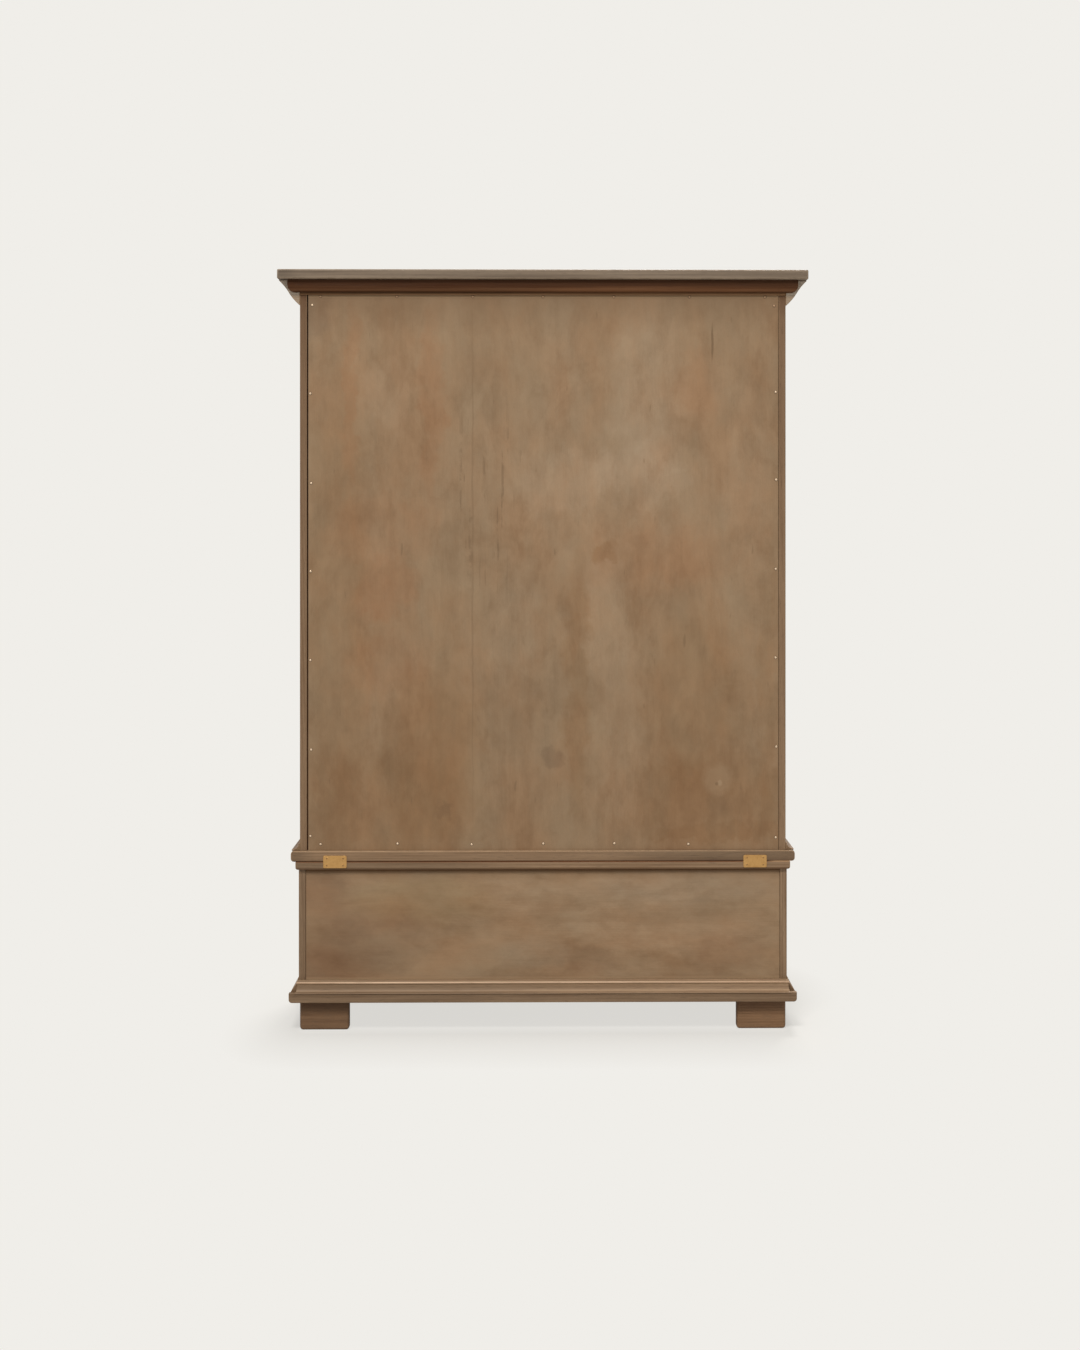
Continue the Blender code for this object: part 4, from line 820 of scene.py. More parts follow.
def darken_joint(piece, level, grime):
    """Darken the edge strips of a board that lie at a level, where dirt sits in the joint."""
    paint_faces(piece, grime, lambda face: all(abs(corner.co.z - level) < 0.002
                                               for corner in face.verts))


def soften(piece, width, worn):
    """Round the sharp edges of a board, give them the finish of wear lightened as a painted
    highlight, and keep its large faces flat.
    """
    piece.data.materials.append(worn)
    rounding = piece.modifiers.new("softened edges", "BEVEL")
    rounding.width = width
    rounding.segments = 2
    rounding.limit_method = "ANGLE"
    rounding.angle_limit = math.radians(38)
    rounding.material = len(piece.data.materials) - 1
    apply_modifier(piece, rounding)
    smooth_over(piece, 50)
    weighting = piece.modifiers.new("flat faces", "WEIGHTED_NORMAL")
    weighting.keep_sharp = True
    apply_modifier(piece, weighting)


def stand_for(piece, node):
    """Let a finished piece stand for a CAD node, on that node's body."""
    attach(piece, body_of(node))
    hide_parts(node)


class Bench:
    """The finishes and sizes in use, and how boards and metal get them."""

    def __init__(self, context):
        self.finishes = context.scene.cabinet_finishes
        self.fittings = context.scene.cabinet_fittings
        self.stains = {
            "stained_hardwood": self.finishes.stain,
            "dark_stained_hardwood": self.finishes.dark_stain,
            "foot_hardwood": self.finishes.foot_stain,
            "slab_hardwood": self.finishes.slab_stain,
            "drawer_softwood": self.finishes.softwood,
        }

    def brass(self, name, **settings):
        """One of the shared kinds of brass."""
        return kept(name, aged_brass, self.finishes.brass, **settings)

    def finish_board(self, node, grain, slot="stained_hardwood", softness=1.0, lift=1.32,
                     stain=None, worn=None, **wood):
        """Replace a CAD board by one with softened edges, lightened with wear and a painted
        highlight, its own grain and cut ends.
        """
        stain = stain or slot
        colour = self.stains[stain]
        piece = merged_copy(node, node + "_finished")
        piece.data.materials.append(board_wood(node + "_grain", colour, grain, **wood))
        ends = kept(stain + "_ends", end_wood, colour)
        paint_faces(piece, ends, lambda face: abs(face.normal.dot(AXES[grain])) > 0.95)
        worn = worn or kept(stain + "_worn", wear_highlight_wood, colour, lift)
        soften(piece, self.finishes.edge_softness * softness, worn)
        stand_for(piece, node)
        return piece

    def finish_metal(self, node, softness):
        """Replace a CAD fitting by one with softened edges and tarnished brass."""
        piece = merged_copy(node, node + "_finished")
        piece.data.materials.append(self.brass("tarnished_brass"))
        soften(piece, softness, self.brass("rubbed_brass", polish=0.36, tarnish=0.2))
        stand_for(piece, node)

    def darken_rabbet(self, board, side, panel):
        """Darken the face of a side that a back panel meets with painted shade, more in the open
        joint, over a base colour lifted as painted light against the real shade low in the gap.
        """
        low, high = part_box(panel)
        if side == "right":
            name, stain, strength = "open_rabbet_grime", self.finishes.dark_stain, 1.37
            foot_shade, middle_shade, top_shade = 0.8, 0.79, 0.75
        else:
            name, stain, strength = "tight_rabbet_grime", self.finishes.stain, 1.3
            foot_shade, middle_shade, top_shade = 0.6, 0.64, 0.36
        grime = kept(name, end_wood, stain, strength,
                     ((0.5, 0.42, foot_shade), (0.7, 1.3, middle_shade), (1.3, 1.85, top_shade)))
        paint_faces(board, grime, lambda face: middle_of(face).y > low.y - 0.001
                    and abs(face.normal.x) > 0.95 and middle_of(face).x * face.normal.x < 0)
        paint_faces(board, grime, lambda face: looks(face, BACKWARDS)
                    and low.y - 0.001 < middle_of(face).y < high.y - 0.002)

    def paint_lip(self, board, material, panel):
        """Give the edge of a side that stands out behind a back panel its own material."""
        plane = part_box(panel)[1].y
        paint_faces(board, material, lambda face: looks(face, BACKWARDS)
                    and middle_of(face).y > plane)


class CABINET_OT_cornice(bpy.types.Operator):
    """Finish the slab, the crown moulding and the dark rail behind it"""

    bl_idname = "cabinet.cornice"
    bl_label = "Finish the cornice"

    def execute(self, context):
        bench = Bench(context)
        slab_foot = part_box("cornice_slab")[0].z
        bench.finish_board("cornice_slab", ACROSS, "slab_hardwood", softness=1.5, lift=1.5,
                           figure=0.22, streaks=0.36, warmth=0.02, dullness=0.62,
                           washes=(((0.7, slab_foot + 0.005), (0.075, 0.08), 0.8),))
        # The rail is darkened with painted shade under the slab and toward its lower edge; a
        # highlight line of painted light lifts its middle.
        rail = bench.finish_board(
            "cornice_back_rail", ACROSS, "dark_stained_hardwood", softness=0.9, lift=1.2,
            figure=0.45, streaks=0.55, warmth=0.1, dullness=0.5, gloss=0.1,
            grime=((RAIL_FOOT + 0.0163, RAIL_FOOT + 0.0228, 0.6),
                   (RAIL_FOOT + 0.0094, RAIL_FOOT + 0.0074, 0.62)),
            rubs=((RAIL_FOOT + 0.0118, 0.0038, 0.55),),
            washes=(((-0.3, RAIL_FOOT + 0.0123), (0.42, 0.011), 1.35),))
        # The fillet under the rail is darkened with painted shade toward its top, and more over one
        # half of its length.
        fillet = board_wood("rail_fillet_grain", deepened(bench.finishes.foot_stain, 1.1), ACROSS,
                            gloss=0.1, grime=((RAIL_FOOT + 0.0028, RAIL_FOOT + 0.0056, 0.6),),
                            washes=(((0.45, RAIL_FOOT + 0.0068), (0.62, 0.0046), 0.62),))
        fillet_top = RAIL_FOOT + 0.0064
        paint_faces(rail, fillet, lambda face: middle_of(face).z < fillet_top
                    and middle_of(face).y > PLY_FACE)
        bench.finish_board("cornice_crown_front", ACROSS)
        for side in SIDES:
            crown = bench.finish_board("cornice_crown_" + side, DEEP)
            # The cut ends get a pale colour, painted light where the slab shades them, and painted
            # shade lower down, where light falls on them.
            cut = kept("bare_cut_ends", end_wood, bench.finishes.cut_wood, strength=1.0,
                       grime=((RAIL_FOOT + 0.004, RAIL_FOOT - 0.004, 0.62),))
            paint_faces(crown, cut, lambda face: looks(face, BACKWARDS))
        return {"FINISHED"}


class CABINET_OT_upper_case(bpy.types.Operator):
    """Finish the sides, rails and boards of the upper case and its plywood back"""

    bl_idname = "cabinet.upper_case"
    bl_label = "Finish the upper case"

    def execute(self, context):
        bench = Bench(context)
        stain = bench.finishes.stain
        inside = abs(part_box("shelf_lower")[0].x) + 0.001
        for side, lip_darkening in (("left", 0.32), ("right", 0.47)):
            board = bench.finish_board("upper_side_" + side, UPRIGHT, softness=0.7)
            # The lip grows darker toward the top over its height; its top layers are painted shade
            # under the cornice.
            lip = board_wood("upper_lip_" + side + "_grain", stain, UPRIGHT,
                             grime=((-0.4, 1.3, lip_darkening), (1.3, 1.83, 0.31),
                                    (1.83, 1.885, 0.52), (1.882, 1.894, 0.78)))
            bench.paint_lip(board, lip, "upper_back_panel")
            stile = board_wood("upper_stile_" + side + "_grain", stain, UPRIGHT)
            paint_faces(board, stile, lambda face: looks(face, -BACKWARDS)
                        and abs(middle_of(face).y - STILE_FACE) < 0.0005)
            pegs = bench.brass("tarnished_brass")
            paint_faces(board, pegs, lambda face: abs(middle_of(face).x) < inside
                        and middle_of(face).y > STILE_FACE + 0.03)
            bench.darken_rabbet(board, side, "upper_back_panel")
        for rail in ("frieze_rail", "upper_floor_board"):
            bench.finish_board(rail, ACROSS, softness=0.8)
        coat_node("upper_roof_board", board_wood("upper_roof_board_grain", stain, ACROSS))
        coat_node("upper_back_panel", upper_ply("upper_back_wash", bench.finishes.plywood))
        return {"FINISHED"}


class CABINET_OT_shelves(bpy.types.Operator):
    """Finish the three shelves of the upper case"""

    bl_idname = "cabinet.shelves"
    bl_label = "Finish the shelves"

    def execute(self, context):
        bench = Bench(context)
        for level in ("lower", "middle", "upper"):
            bench.finish_board("shelf_" + level, ACROSS)
        return {"FINISHED"}


class CABINET_OT_doors(bpy.types.Operator):
    """Finish the frames and raised panels of the two doors"""

    bl_idname = "cabinet.doors"
    bl_label = "Finish the doors"

    def execute(self, context):
        bench = Bench(context)
        for side in SIDES:
            door = "door_" + side
            for stile in ("_hinge_stile", "_meeting_stile"):
                bench.finish_board(door + stile, UPRIGHT)
            for rail in ("_bottom_rail", "_top_rail"):
                bench.finish_board(door + rail, ACROSS)
            bench.finish_board(door + "_panel", UPRIGHT, softness=0.6, figure=0.36,
                               ring_gap=0.013, streaks=0.24, cloud=0.14)
        return {"FINISHED"}


def bead_frame(name, low, high, width, rounding):
    """A quarter-round bead that runs round an opening, mitred at its corners."""
    middle = (low + high) / 2
    bpy.ops.object.select_all(action="DESELECT")
    bpy.ops.mesh.primitive_plane_add(size=1.0, location=(middle.x, high.y, middle.z),
                                     rotation=(math.radians(90), 0.0, 0.0))
    bead = bpy.context.active_object
    bead.scale = (high.x - low.x, high.z - low.z, 1.0)
    settle(bead, name)

    def by_the_opening(point):
        """Whether a point lies on the front edge next to the opening."""
        return (abs(point.y - low.y) < 0.0001
                and low.x + width / 2 < point.x < high.x - width / 2
                and low.z + width / 2 < point.z < high.z - width / 2)

    with editing(bead):
        bpy.ops.mesh.inset(thickness=width, depth=0.0)
        bpy.ops.mesh.delete(type="FACE")
        bpy.ops.mesh.select_all(action="SELECT")
        forward = {"value": (0.0, low.y - high.y, 0.0)}
        bpy.ops.mesh.extrude_region_move(TRANSFORM_OT_translate=forward)
        bpy.ops.mesh.select_all(action="SELECT")
        bpy.ops.mesh.normals_make_consistent(inside=False)
        bpy.ops.mesh.select_mode(type="EDGE")
        pick(bead, "edges", lambda edge: all(by_the_opening(end.co) for end in edge.verts))
        bpy.ops.mesh.bevel(offset=rounding, segments=6, affect="EDGES")
    smooth_over(bead, 40)
    return bead


class CABINET_OT_panel_beads(bpy.types.Operator):
    """Run a quarter-round bead round the panel of each door"""

    bl_idname = "cabinet.panel_beads"
    bl_label = "Run the panel beads"

    def execute(self, context):
        bench = Bench(context)
        width = bench.fittings.panel_bead
        upright = board_wood("bead_upright_grain", bench.finishes.stain, UPRIGHT)
        across = board_wood("bead_level_grain", bench.finishes.stain, ACROSS)
        for side in SIDES:
            door = "door_" + side
            panel_low, panel_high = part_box(door + "_panel")
            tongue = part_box(door + "_bottom_rail")[1].z - panel_low.z
            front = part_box(door + "_meeting_stile")[0].y + 0.0012
            low = Vector((panel_low.x + tongue, front, panel_low.z + tongue))
            high = Vector((panel_high.x - tongue, front + width, panel_high.z - tongue))
            bead = bead_frame(door + "_panel_bead", low, high, width, width * 0.8)
            bead.data.materials.append(upright)
            paint_faces(bead, across, lambda face: abs(face.normal.x) < 0.01
                        and min(abs(middle_of(face).z - low.z),
                                abs(middle_of(face).z - high.z)) < width)
            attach(bead, body_of(door + "_panel"))
        return {"FINISHED"}


class CABINET_OT_waist(bpy.types.Operator):
    """Finish the waist board, the coves on it and the board below it"""

    bl_idname = "cabinet.waist"
    bl_label = "Finish the waist"

    def execute(self, context):
        bench = Bench(context)
        stain, dark_stain = bench.finishes.stain, bench.finishes.dark_stain
        seam, edge = (corner.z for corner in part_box("waist_board"))
        # Painted shade darkens the waist board from near its top downward, and most toward the
        # seam, its edges included; a highlight line of painted light runs along its top edge.
        shade_by_seam = (seam + 0.0044, seam + 0.0018, 0.78)
        upper = bench.finish_board(
            "waist_board", ACROSS, softness=1.3,
            worn=wear_highlight_wood("waist_board_edges", stain, lift=1.55, grime=(shade_by_seam,)),
            grime=((edge - 0.004, edge - 0.02, 0.2), shade_by_seam),
            rubs=((edge - 0.0008, 0.003, 0.75),),
            washes=(((-0.74, edge), (0.62, 0.08), 0.66), ((0.69, edge), (0.11, 0.08), 0.75)))
        darken_joint(upper, seam, seam_dirt("seam_dirt", dark_stain, stain))
        foot, top = (corner.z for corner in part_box("chest_top_board"))
        # Painted shade darkens the board and its edges toward its foot, and more toward one end of
        # the foot.
        shade_by_panel = ((foot + 0.0058, foot + 0.0024, 0.8),)
        lower = bench.finish_board("chest_top_board", ACROSS, softness=1.3,
                                   worn=wear_highlight_wood("chest_top_edges", stain, grime=shade_by_panel),
                                   grime=shade_by_panel,
                                   washes=(((0.6, foot), (0.56, 0.08), 0.76),))
        below = seam_dirt("seam_dirt_below", deepened(dark_stain, 1.65), stain)
        darken_joint(lower, top, below)
        for side, grain in (("front", ACROSS), ("left", DEEP), ("right", DEEP)):
            hollow, top = (corner.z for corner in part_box("waist_cove_" + side))
            # Painted shade darkens each cove toward its hollow, toning down the light that falls on
            # it from above.
            bench.finish_board("waist_cove_" + side, grain,
                               grime=((top, (top + hollow) / 2, 0.3),))
        for side in SIDES:
            bench.finish_metal("mending_plate_" + side, softness=0.0004)
        return {"FINISHED"}


class CABINET_OT_chest(bpy.types.Operator):
    """Finish the sides, the floor board and the plywood back of the chest"""

    bl_idname = "cabinet.chest"
    bl_label = "Finish the chest"

    def execute(self, context):
        bench = Bench(context)
        runner_face = abs(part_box("drawer_side_left")[0].x) + 0.012
        stile_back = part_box("drawer_front")[1].y
        for side, depth in (("left", 0.965), ("right", 0.9)):
            board = bench.finish_board("chest_side_" + side, UPRIGHT, softness=0.7)
            runner = kept("runner_wood", board_wood, bench.finishes.softwood, DEEP)
            paint_faces(board, runner, lambda face: middle_of(face).y > stile_back
                        and abs(middle_of(face).x) < runner_face)
            bench.darken_rabbet(board, side, "chest_back_panel")
            lip = board_wood("chest_lip_" + side + "_grain",
                             deepened(bench.finishes.stain, depth), UPRIGHT)
            bench.paint_lip(board, lip, "chest_back_panel")
        bench.finish_board("chest_floor_board", ACROSS, softness=0.8)
        coat_node("chest_back_panel", chest_ply("chest_back_wash", bench.finishes.plywood))
        return {"FINISHED"}


class CABINET_OT_drawer(bpy.types.Operator):
    """Finish the drawer: a stained front on a bare, dovetailed box"""

    bl_idname = "cabinet.drawer"
    bl_label = "Finish the drawer"

    def execute(self, context):
        bench = Bench(context)
        bench.finish_board("drawer_front", ACROSS, figure=0.36, ring_gap=0.012, streaks=0.24,
                           cloud=0.14)
        for node, grain in (("drawer_side_left", DEEP), ("drawer_side_right", DEEP),
                            ("drawer_back", ACROSS)):
            bench.finish_board(node, grain, "drawer_softwood", softness=0.5,
                               figure=0.22, streaks=0.22, warmth=0.03, dullness=0.62)
        coat_node("drawer_bottom", plain_ply("drawer_bottom_ply", bench.finishes.plywood))
        return {"FINISHED"}


class CABINET_OT_base(bpy.types.Operator):
    """Finish the base moulding and the four bracket feet"""

    bl_idname = "cabinet.base"
    bl_label = "Finish the base"

    def execute(self, context):
        bench = Bench(context)
        bench.finish_board("base_moulding_front", ACROSS)
        low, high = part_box("base_moulding_back")
        # Highlight lines on the back moulding are painted light: on the bead, on the shaded face
        # under it, and at the foot of the cove.
        back = bench.finish_board(
            "base_moulding_back", ACROSS,
            rubs=((high.z - 0.0078, 0.006, 1.0), (high.z - 0.0118, 0.0032, 0.6),
                  (high.z - 0.0265, 0.003, 0.55)),
            washes=(((0.62, high.z - 0.022), (0.8, 0.03), 0.77),))
        # The upward faces of the bead get a painted highlight colour.
        rubbed = board_wood("rubbed_bead_grain", bench.finishes.rubbed_bead, ACROSS, figure=0.2)
        paint_faces(back, rubbed, lambda face: face.normal.y > 0.9
                    and high.z - 0.0084 < middle_of(face).z < high.z - 0.0042)
        fascia_top = low.z + (high.z - low.z) * 0.42
        # The fascia's darkening at its top is a touch of painted shade under the moulding.
        fascia = board_wood("back_fascia_grain", deepened(bench.finishes.stain, 0.9), ACROSS,
                            streaks=0.45, grime=((fascia_top - 0.007, fascia_top, 0.02),))
        paint_faces(back, fascia, lambda face: face.normal.y > 0.5
                    and middle_of(face).z < fascia_top)
        foot_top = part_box("foot_back_left")[1].z
        for side, paler in (("left", 1.28), ("right", 1.0)):
            bench.finish_board("base_moulding_" + side, DEEP)
            for end in ("front", "back"):
                # Painted shade darkens the top of each foot, under the base moulding.
                bench.finish_board("foot_" + end + "_" + side, ACROSS, streaks=0.36,
                                   stain="foot_hardwood",
                                   grime=((foot_top - 0.026, foot_top - 0.015, 0.42),),
                                   washes=(((-0.6, 0.06), (0.4, 0.4), paler),))
        return {"FINISHED"}


# Turned knobs, hinges, nails and screws

# Height above a hinge's middle, and depth behind the front of the case, of each of its screws
HINGE_HOLES = ((-0.026, 0.0065), (0.0, 0.0125), (0.026, 0.0065))
DOOR_GAP = 0.0025


def half_wave(share):
    """A share from 0 to 1 that starts and ends gently."""
    return (1 - math.cos(math.pi * share)) / 2


def knob_rings(reach, rose, neck, head):
    """Distance from the face and radius of each turned ring, from the rose to the crown."""
    rings = [(0.0, rose), (reach * 0.045, rose), (reach * 0.075, rose * 0.93),
             (reach * 0.09, rose * 0.84), (reach * 0.125, rose * 0.82),
             (reach * 0.15, rose * 0.74), (reach * 0.175, neck * 1.1)]
    waist = reach * 0.3
    rings += [(waist * 0.8, neck * 0.96), (waist, neck)]
    thick = reach * 0.27
    middle = reach - thick
    under = math.radians(-52)
    low_ring = (middle + thick * math.sin(under), head * math.cos(under))
    for share in (0.25, 0.5, 0.75):
        rings.append((waist + (low_ring[0] - waist) * share,
                      neck + (low_ring[1] - neck) * half_wave(share)))
    top = math.radians(86)
    steps = 14
    for step in range(steps + 1):
        angle = under + (top - under) * step / steps
        rings.append((middle + thick * math.sin(angle), head * math.cos(angle)))
    return rings


def turned_knob(name, rings, facets):
    """Turn a knob along Z: a disc is drawn out and resized from ring to ring."""
    bpy.ops.mesh.primitive_circle_add(vertices=facets, radius=rings[0][1], fill_type="NGON")
    knob = bpy.context.active_object
    with editing(knob):
        for (low, narrow), (high, wide) in zip(rings, rings[1:]):
            rise = {"value": (0.0, 0.0, high - low)}
            bpy.ops.mesh.extrude_region_move(TRANSFORM_OT_translate=rise)
            bpy.ops.transform.resize(value=(wide / narrow, wide / narrow, 1.0),
                                     center_override=(0.0, 0.0, high))
        bpy.ops.mesh.select_all(action="SELECT")
        bpy.ops.mesh.normals_make_consistent(inside=False)
    settle(knob, name)
    smooth_over(knob, 40)
    return knob


def set_on(direction, point, spin=0.0):
    """The matrix that stands a piece modelled along Z on a point, looking along a direction."""
    turn = direction.to_track_quat("Z", "Y").to_matrix().to_4x4()
    return Matrix.Translation(point) @ turn @ Matrix.Rotation(spin, 4, "Z")


def fasten(pattern, name, body, direction, point, spin):
    """Set a copy of a nail or screw on a point of a body."""
    piece = copy_piece(pattern, name, set_on(direction, point, spin))
    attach(piece, body)


class CABINET_OT_knobs(bpy.types.Operator):
    """Turn the four brass knobs and set them on the doors and the drawer"""

    bl_idname = "cabinet.knobs"
    bl_label = "Turn the knobs"

    def execute(self, context):
        bench = Bench(context)
        low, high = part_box("door_left_knob")
        head = (high.z - low.z) / 2
        rings = knob_rings(high.y - low.y, rose=head * 0.75, neck=head * 0.4, head=head * 0.995)
        pattern = turned_knob("knob_pattern", rings, bench.fittings.knob_facets)
        pattern.data.materials.append(bench.brass("turned_brass", polish=0.24, tarnish=0.35))
        for node in ("door_left_knob", "door_right_knob", "drawer_knob_left",
                     "drawer_knob_right"):
            low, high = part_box(node)
            foot = Vector(((low.x + high.x) / 2, high.y, (low.z + high.z) / 2))
            knob = copy_piece(pattern, node + "_turned", set_on(-BACKWARDS, foot))
            stand_for(knob, node)
        bpy.data.objects.remove(pattern)
        return {"FINISHED"}


class CABINET_OT_hinges(bpy.types.Operator):
    """Finish both halves of the four brass butt hinges"""

    bl_idname = "cabinet.hinges"
    bl_label = "Finish the hinges"

    def execute(self, context):
        bench = Bench(context)
        for level in ("lower", "upper"):
            for side in SIDES:
                for half in ("frame", "door"):
                    leaf = "hinge_%s_%s_%s_leaf" % (level, side, half)
                    bench.finish_metal(leaf, softness=0.0003)
        return {"FINISHED"}


def nail_pattern(head, dent, steel):
    """A driven nail along Z: the dark bruise ring in the ply, partly a painted shadow, and the low
    dome of the head in it.
    """
    radius = head / 2
    bpy.ops.mesh.primitive_cylinder_add(vertices=18, radius=radius * 1.45, depth=0.0004)
    nail = bpy.context.active_object
    nail.data.materials.append(dent)
    nail.data.materials.append(steel)
    with editing(nail):
        pick(nail, "faces", lambda face: looks(face, UPWARDS))
        bpy.ops.mesh.inset(thickness=radius * 0.45, depth=-0.0001)
        nail.active_material_index = 1
        bpy.ops.object.material_slot_assign()
        bpy.ops.mesh.extrude_region_move(TRANSFORM_OT_translate={"value": (0.0, 0.0, 0.0007)})
        bpy.ops.mesh.inset(thickness=radius * 0.24, depth=0.00042)
        bpy.ops.mesh.inset(thickness=radius * 0.3, depth=0.00026)
    settle(nail, "nail_pattern")
    smooth_over(nail, 50)
    return nail


class CABINET_OT_nails(bpy.types.Operator):
    """Drive the nails that hold the upper back panel, one row along each edge"""

    bl_idname = "cabinet.nails"
    bl_label = "Drive the nails"

    def execute(self, context):
        bench = Bench(context)
        low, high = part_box("upper_back_panel")
        dent = bruised_ply("bruised_ply", bench.finishes.plywood)
        bare = dulled_steel("dulled_steel", bench.finishes.bare_steel)
        # The nails under the rail are darkened as painted shade, for the rail's shadow.
        stained = dulled_steel("stained_steel", bench.finishes.stained_steel)
        number = 0
        for steel, spots in ((bare, open_nails(low, high, bench.fittings)),
                             (stained, nails_under_rail(high, bench.fittings))):
            pattern = nail_pattern(bench.fittings.nail_head, dent, steel)
            for across, up in spots:
                number += 1
                fasten(pattern, "back_nail_%02d" % number, "carcass", BACKWARDS,
                       Vector((across, high.y + 0.0001, up)), number * 0.7)
            bpy.data.objects.remove(pattern)
        return {"FINISHED"}


def stray(step):
    """How far a nail missed its mark."""
    return 0.0013 * math.sin(4.1 * step + 0.6)


def level_place(high, step, count):
    """Place across the panel of a nail in a level row, a little wider spaced at the ends."""
    end_margin = 0.0313
    share = 2 * step / (count - 1) - 1
    return math.copysign(abs(share) ** 1.04, share) * (high.x - end_margin)


def nails_under_rail(high, fittings):
    """Places of the nails along the panel's top, close under the rail, and of its left corner's."""
    count = fittings.nails_a_row
    row = RAIL_FOOT - 0.0036
    corner = (fittings.nail_margin - high.x, RAIL_FOOT - 0.0265)
    return [(level_place(high, step, count) + stray(step), row) for step in range(count)] + [corner]


def open_nails(low, high, fittings):
    """Places of the nails along the panel's sides and foot; the foot's left end has none."""
    count = fittings.nails_a_row
    right_row = high.x - fittings.nail_margin + 0.002
    left_row = fittings.nail_margin - high.x - 0.0045
    foot_row = low.z + 0.0165
    lowest = foot_row + 0.016
    highest = RAIL_FOOT - 0.026
    spots = []
    for step in range(count):
        share = step / (count - 1)
        missed = stray(step)
        upright = lowest + (highest - lowest) * share
        inset = 0.0042 if step == count - 1 else 0.0
        lifted = 0.0045 if step == 0 else 0.0
        spots.append((right_row + missed - inset, upright + 0.9 * missed + lifted))
        if step < count - 1:
            raised = 0.007 * min(1.0, 3 * share)
            spots.append((left_row + 0.7 * missed, upright - missed + raised))
        if step > 0:
            spots.append((level_place(high, step, count) - missed, foot_row + missed))
    return spots


def screw_pattern(bench, name, head, rise):
    """A brass screw head along Z: a low dome with a cross cut into it, darkened with dirt and
    painted shade.
    """
    metal = bench.brass("screw_brass", polish=0.22, tarnish=0.25)
    # The cross gets a darker colour, dirt together with painted shade.
    dirt = kept("slot_dirt", bruised_ply, bench.finishes.plywood)
    radius = head / 2
    bpy.ops.mesh.primitive_cylinder_add(vertices=24, radius=radius, depth=rise,
                                        location=(0.0, 0.0, rise / 2))
    screw = bpy.context.active_object
    with editing(screw):
        pick(screw, "faces", lambda face: looks(face, UPWARDS))
        bpy.ops.mesh.inset(thickness=radius * 0.16, depth=rise * 0.22)
        bpy.ops.mesh.inset(thickness=radius * 0.22, depth=rise * 0.14)
    settle(screw, name)
    for turn in (0.0, 90.0):
        bpy.ops.mesh.primitive_cube_add(size=1.0, location=(0.0, 0.0, rise * 1.25),
                                        rotation=(0.0, 0.0, math.radians(turn)),
                                        scale=(radius * 1.15, radius * 0.26, rise * 1.1))
        cutter = bpy.context.active_object
        groove = screw.modifiers.new("cross", "BOOLEAN")
        groove.operation = "DIFFERENCE"
        groove.solver = "EXACT"
        groove.object = cutter
        apply_modifier(screw, groove)
        bpy.data.objects.remove(cutter)
    screw.data.materials.clear()
    screw.data.materials.append(metal)
    paint_faces(screw, dirt, lambda face: middle_of(face).z < rise * 0.95
                and middle_of(face).xy.length < radius * 0.7 and face.normal.z > -0.5)
    smooth_over(screw, 30)
    return screw


class CABINET_OT_plate_screws(bpy.types.Operator):
    """Set four screws in each mending plate"""

    bl_idname = "cabinet.plate_screws"
    bl_label = "Set the plate screws"

    def execute(self, context):
        bench = Bench(context)
        pattern = screw_pattern(bench, "plate_screw_pattern", bench.fittings.plate_screw,
                                rise=0.0011)
        for side in SIDES:
            low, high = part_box("mending_plate_" + side)
            across = (high.x - low.x) * 0.35
            up = (high.z - low.z) * 0.28
            middle = (low + high) / 2
            corners = ((-across, -up), (-across, up), (across, -up), (across, up))
            for number, (sideways, upwards) in enumerate(corners, start=1):
                fasten(pattern, "plate_screw_%s_%d" % (side, number), "carcass", BACKWARDS,
                       Vector((middle.x + sideways, high.y, middle.z + upwards)), 0.9 * number)
        bpy.data.objects.remove(pattern)
        return {"FINISHED"}


class CABINET_OT_hinge_screws(bpy.types.Operator):
    """Set three screws in each leaf of the hinges"""

    bl_idname = "cabinet.hinge_screws"
    bl_label = "Set the hinge screws"

    def execute(self, context):
        bench = Bench(context)
        pattern = screw_pattern(bench, "hinge_screw_pattern", bench.fittings.hinge_screw,
                                rise=0.00045)
        for level in ("lower", "upper"):
            for side, hand in (("left", -1), ("right", 1)):
                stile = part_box("door_" + side + "_hinge_stile")
                door_edge = stile[0].x if hand < 0 else stile[1].x
                case_edge = door_edge + hand * DOOR_GAP
                low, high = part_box("hinge_" + level + "_" + side + "_door_leaf")
                middle = (low.z + high.z) / 2
                for half, body, plane, look in (("frame", "carcass", case_edge, -hand),
                                                ("door", "door_" + side, door_edge, hand)):
                    for number, (up, deep) in enumerate(HINGE_HOLES, start=1):
                        name = "hinge_screw_%s_%s_%s_%d" % (level, side, half, number)
                        spot = Vector((plane, STILE_FACE + deep, middle + up))
                        fasten(pattern, name, body, SIDEWAYS * look, spot, number * 1.1)
        bpy.data.objects.remove(pattern)
        return {"FINISHED"}


# Studio

LAMP_SIZE = 2.6
LAMP_TARGET = Vector((0.0, 0.1, 1.0))


def way_from_cabinet(recipe, fade_across, fade_deep):
    """0 under the cabinet, rising over the floor round it to 1 where its shadow ends."""
    place = recipe.add("ShaderNodeSeparateXYZ", {"Vector": recipe.place}).outputs
    inset = 0.05
    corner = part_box("base_moulding_back")[1]
    away = []
    for axis, half, fade in ((ACROSS, corner.x, fade_across), (DEEP, corner.y, fade_deep)):
        beyond = recipe.reckon("SUBTRACT", recipe.reckon("ABSOLUTE", place[axis]), half - inset)
        beyond = recipe.reckon("DIVIDE", recipe.reckon("MAXIMUM", beyond), fade + inset)
        away.append(recipe.reckon("POWER", beyond, 2.0))
    return recipe.reckon("POWER", recipe.total(*away), 0.5)


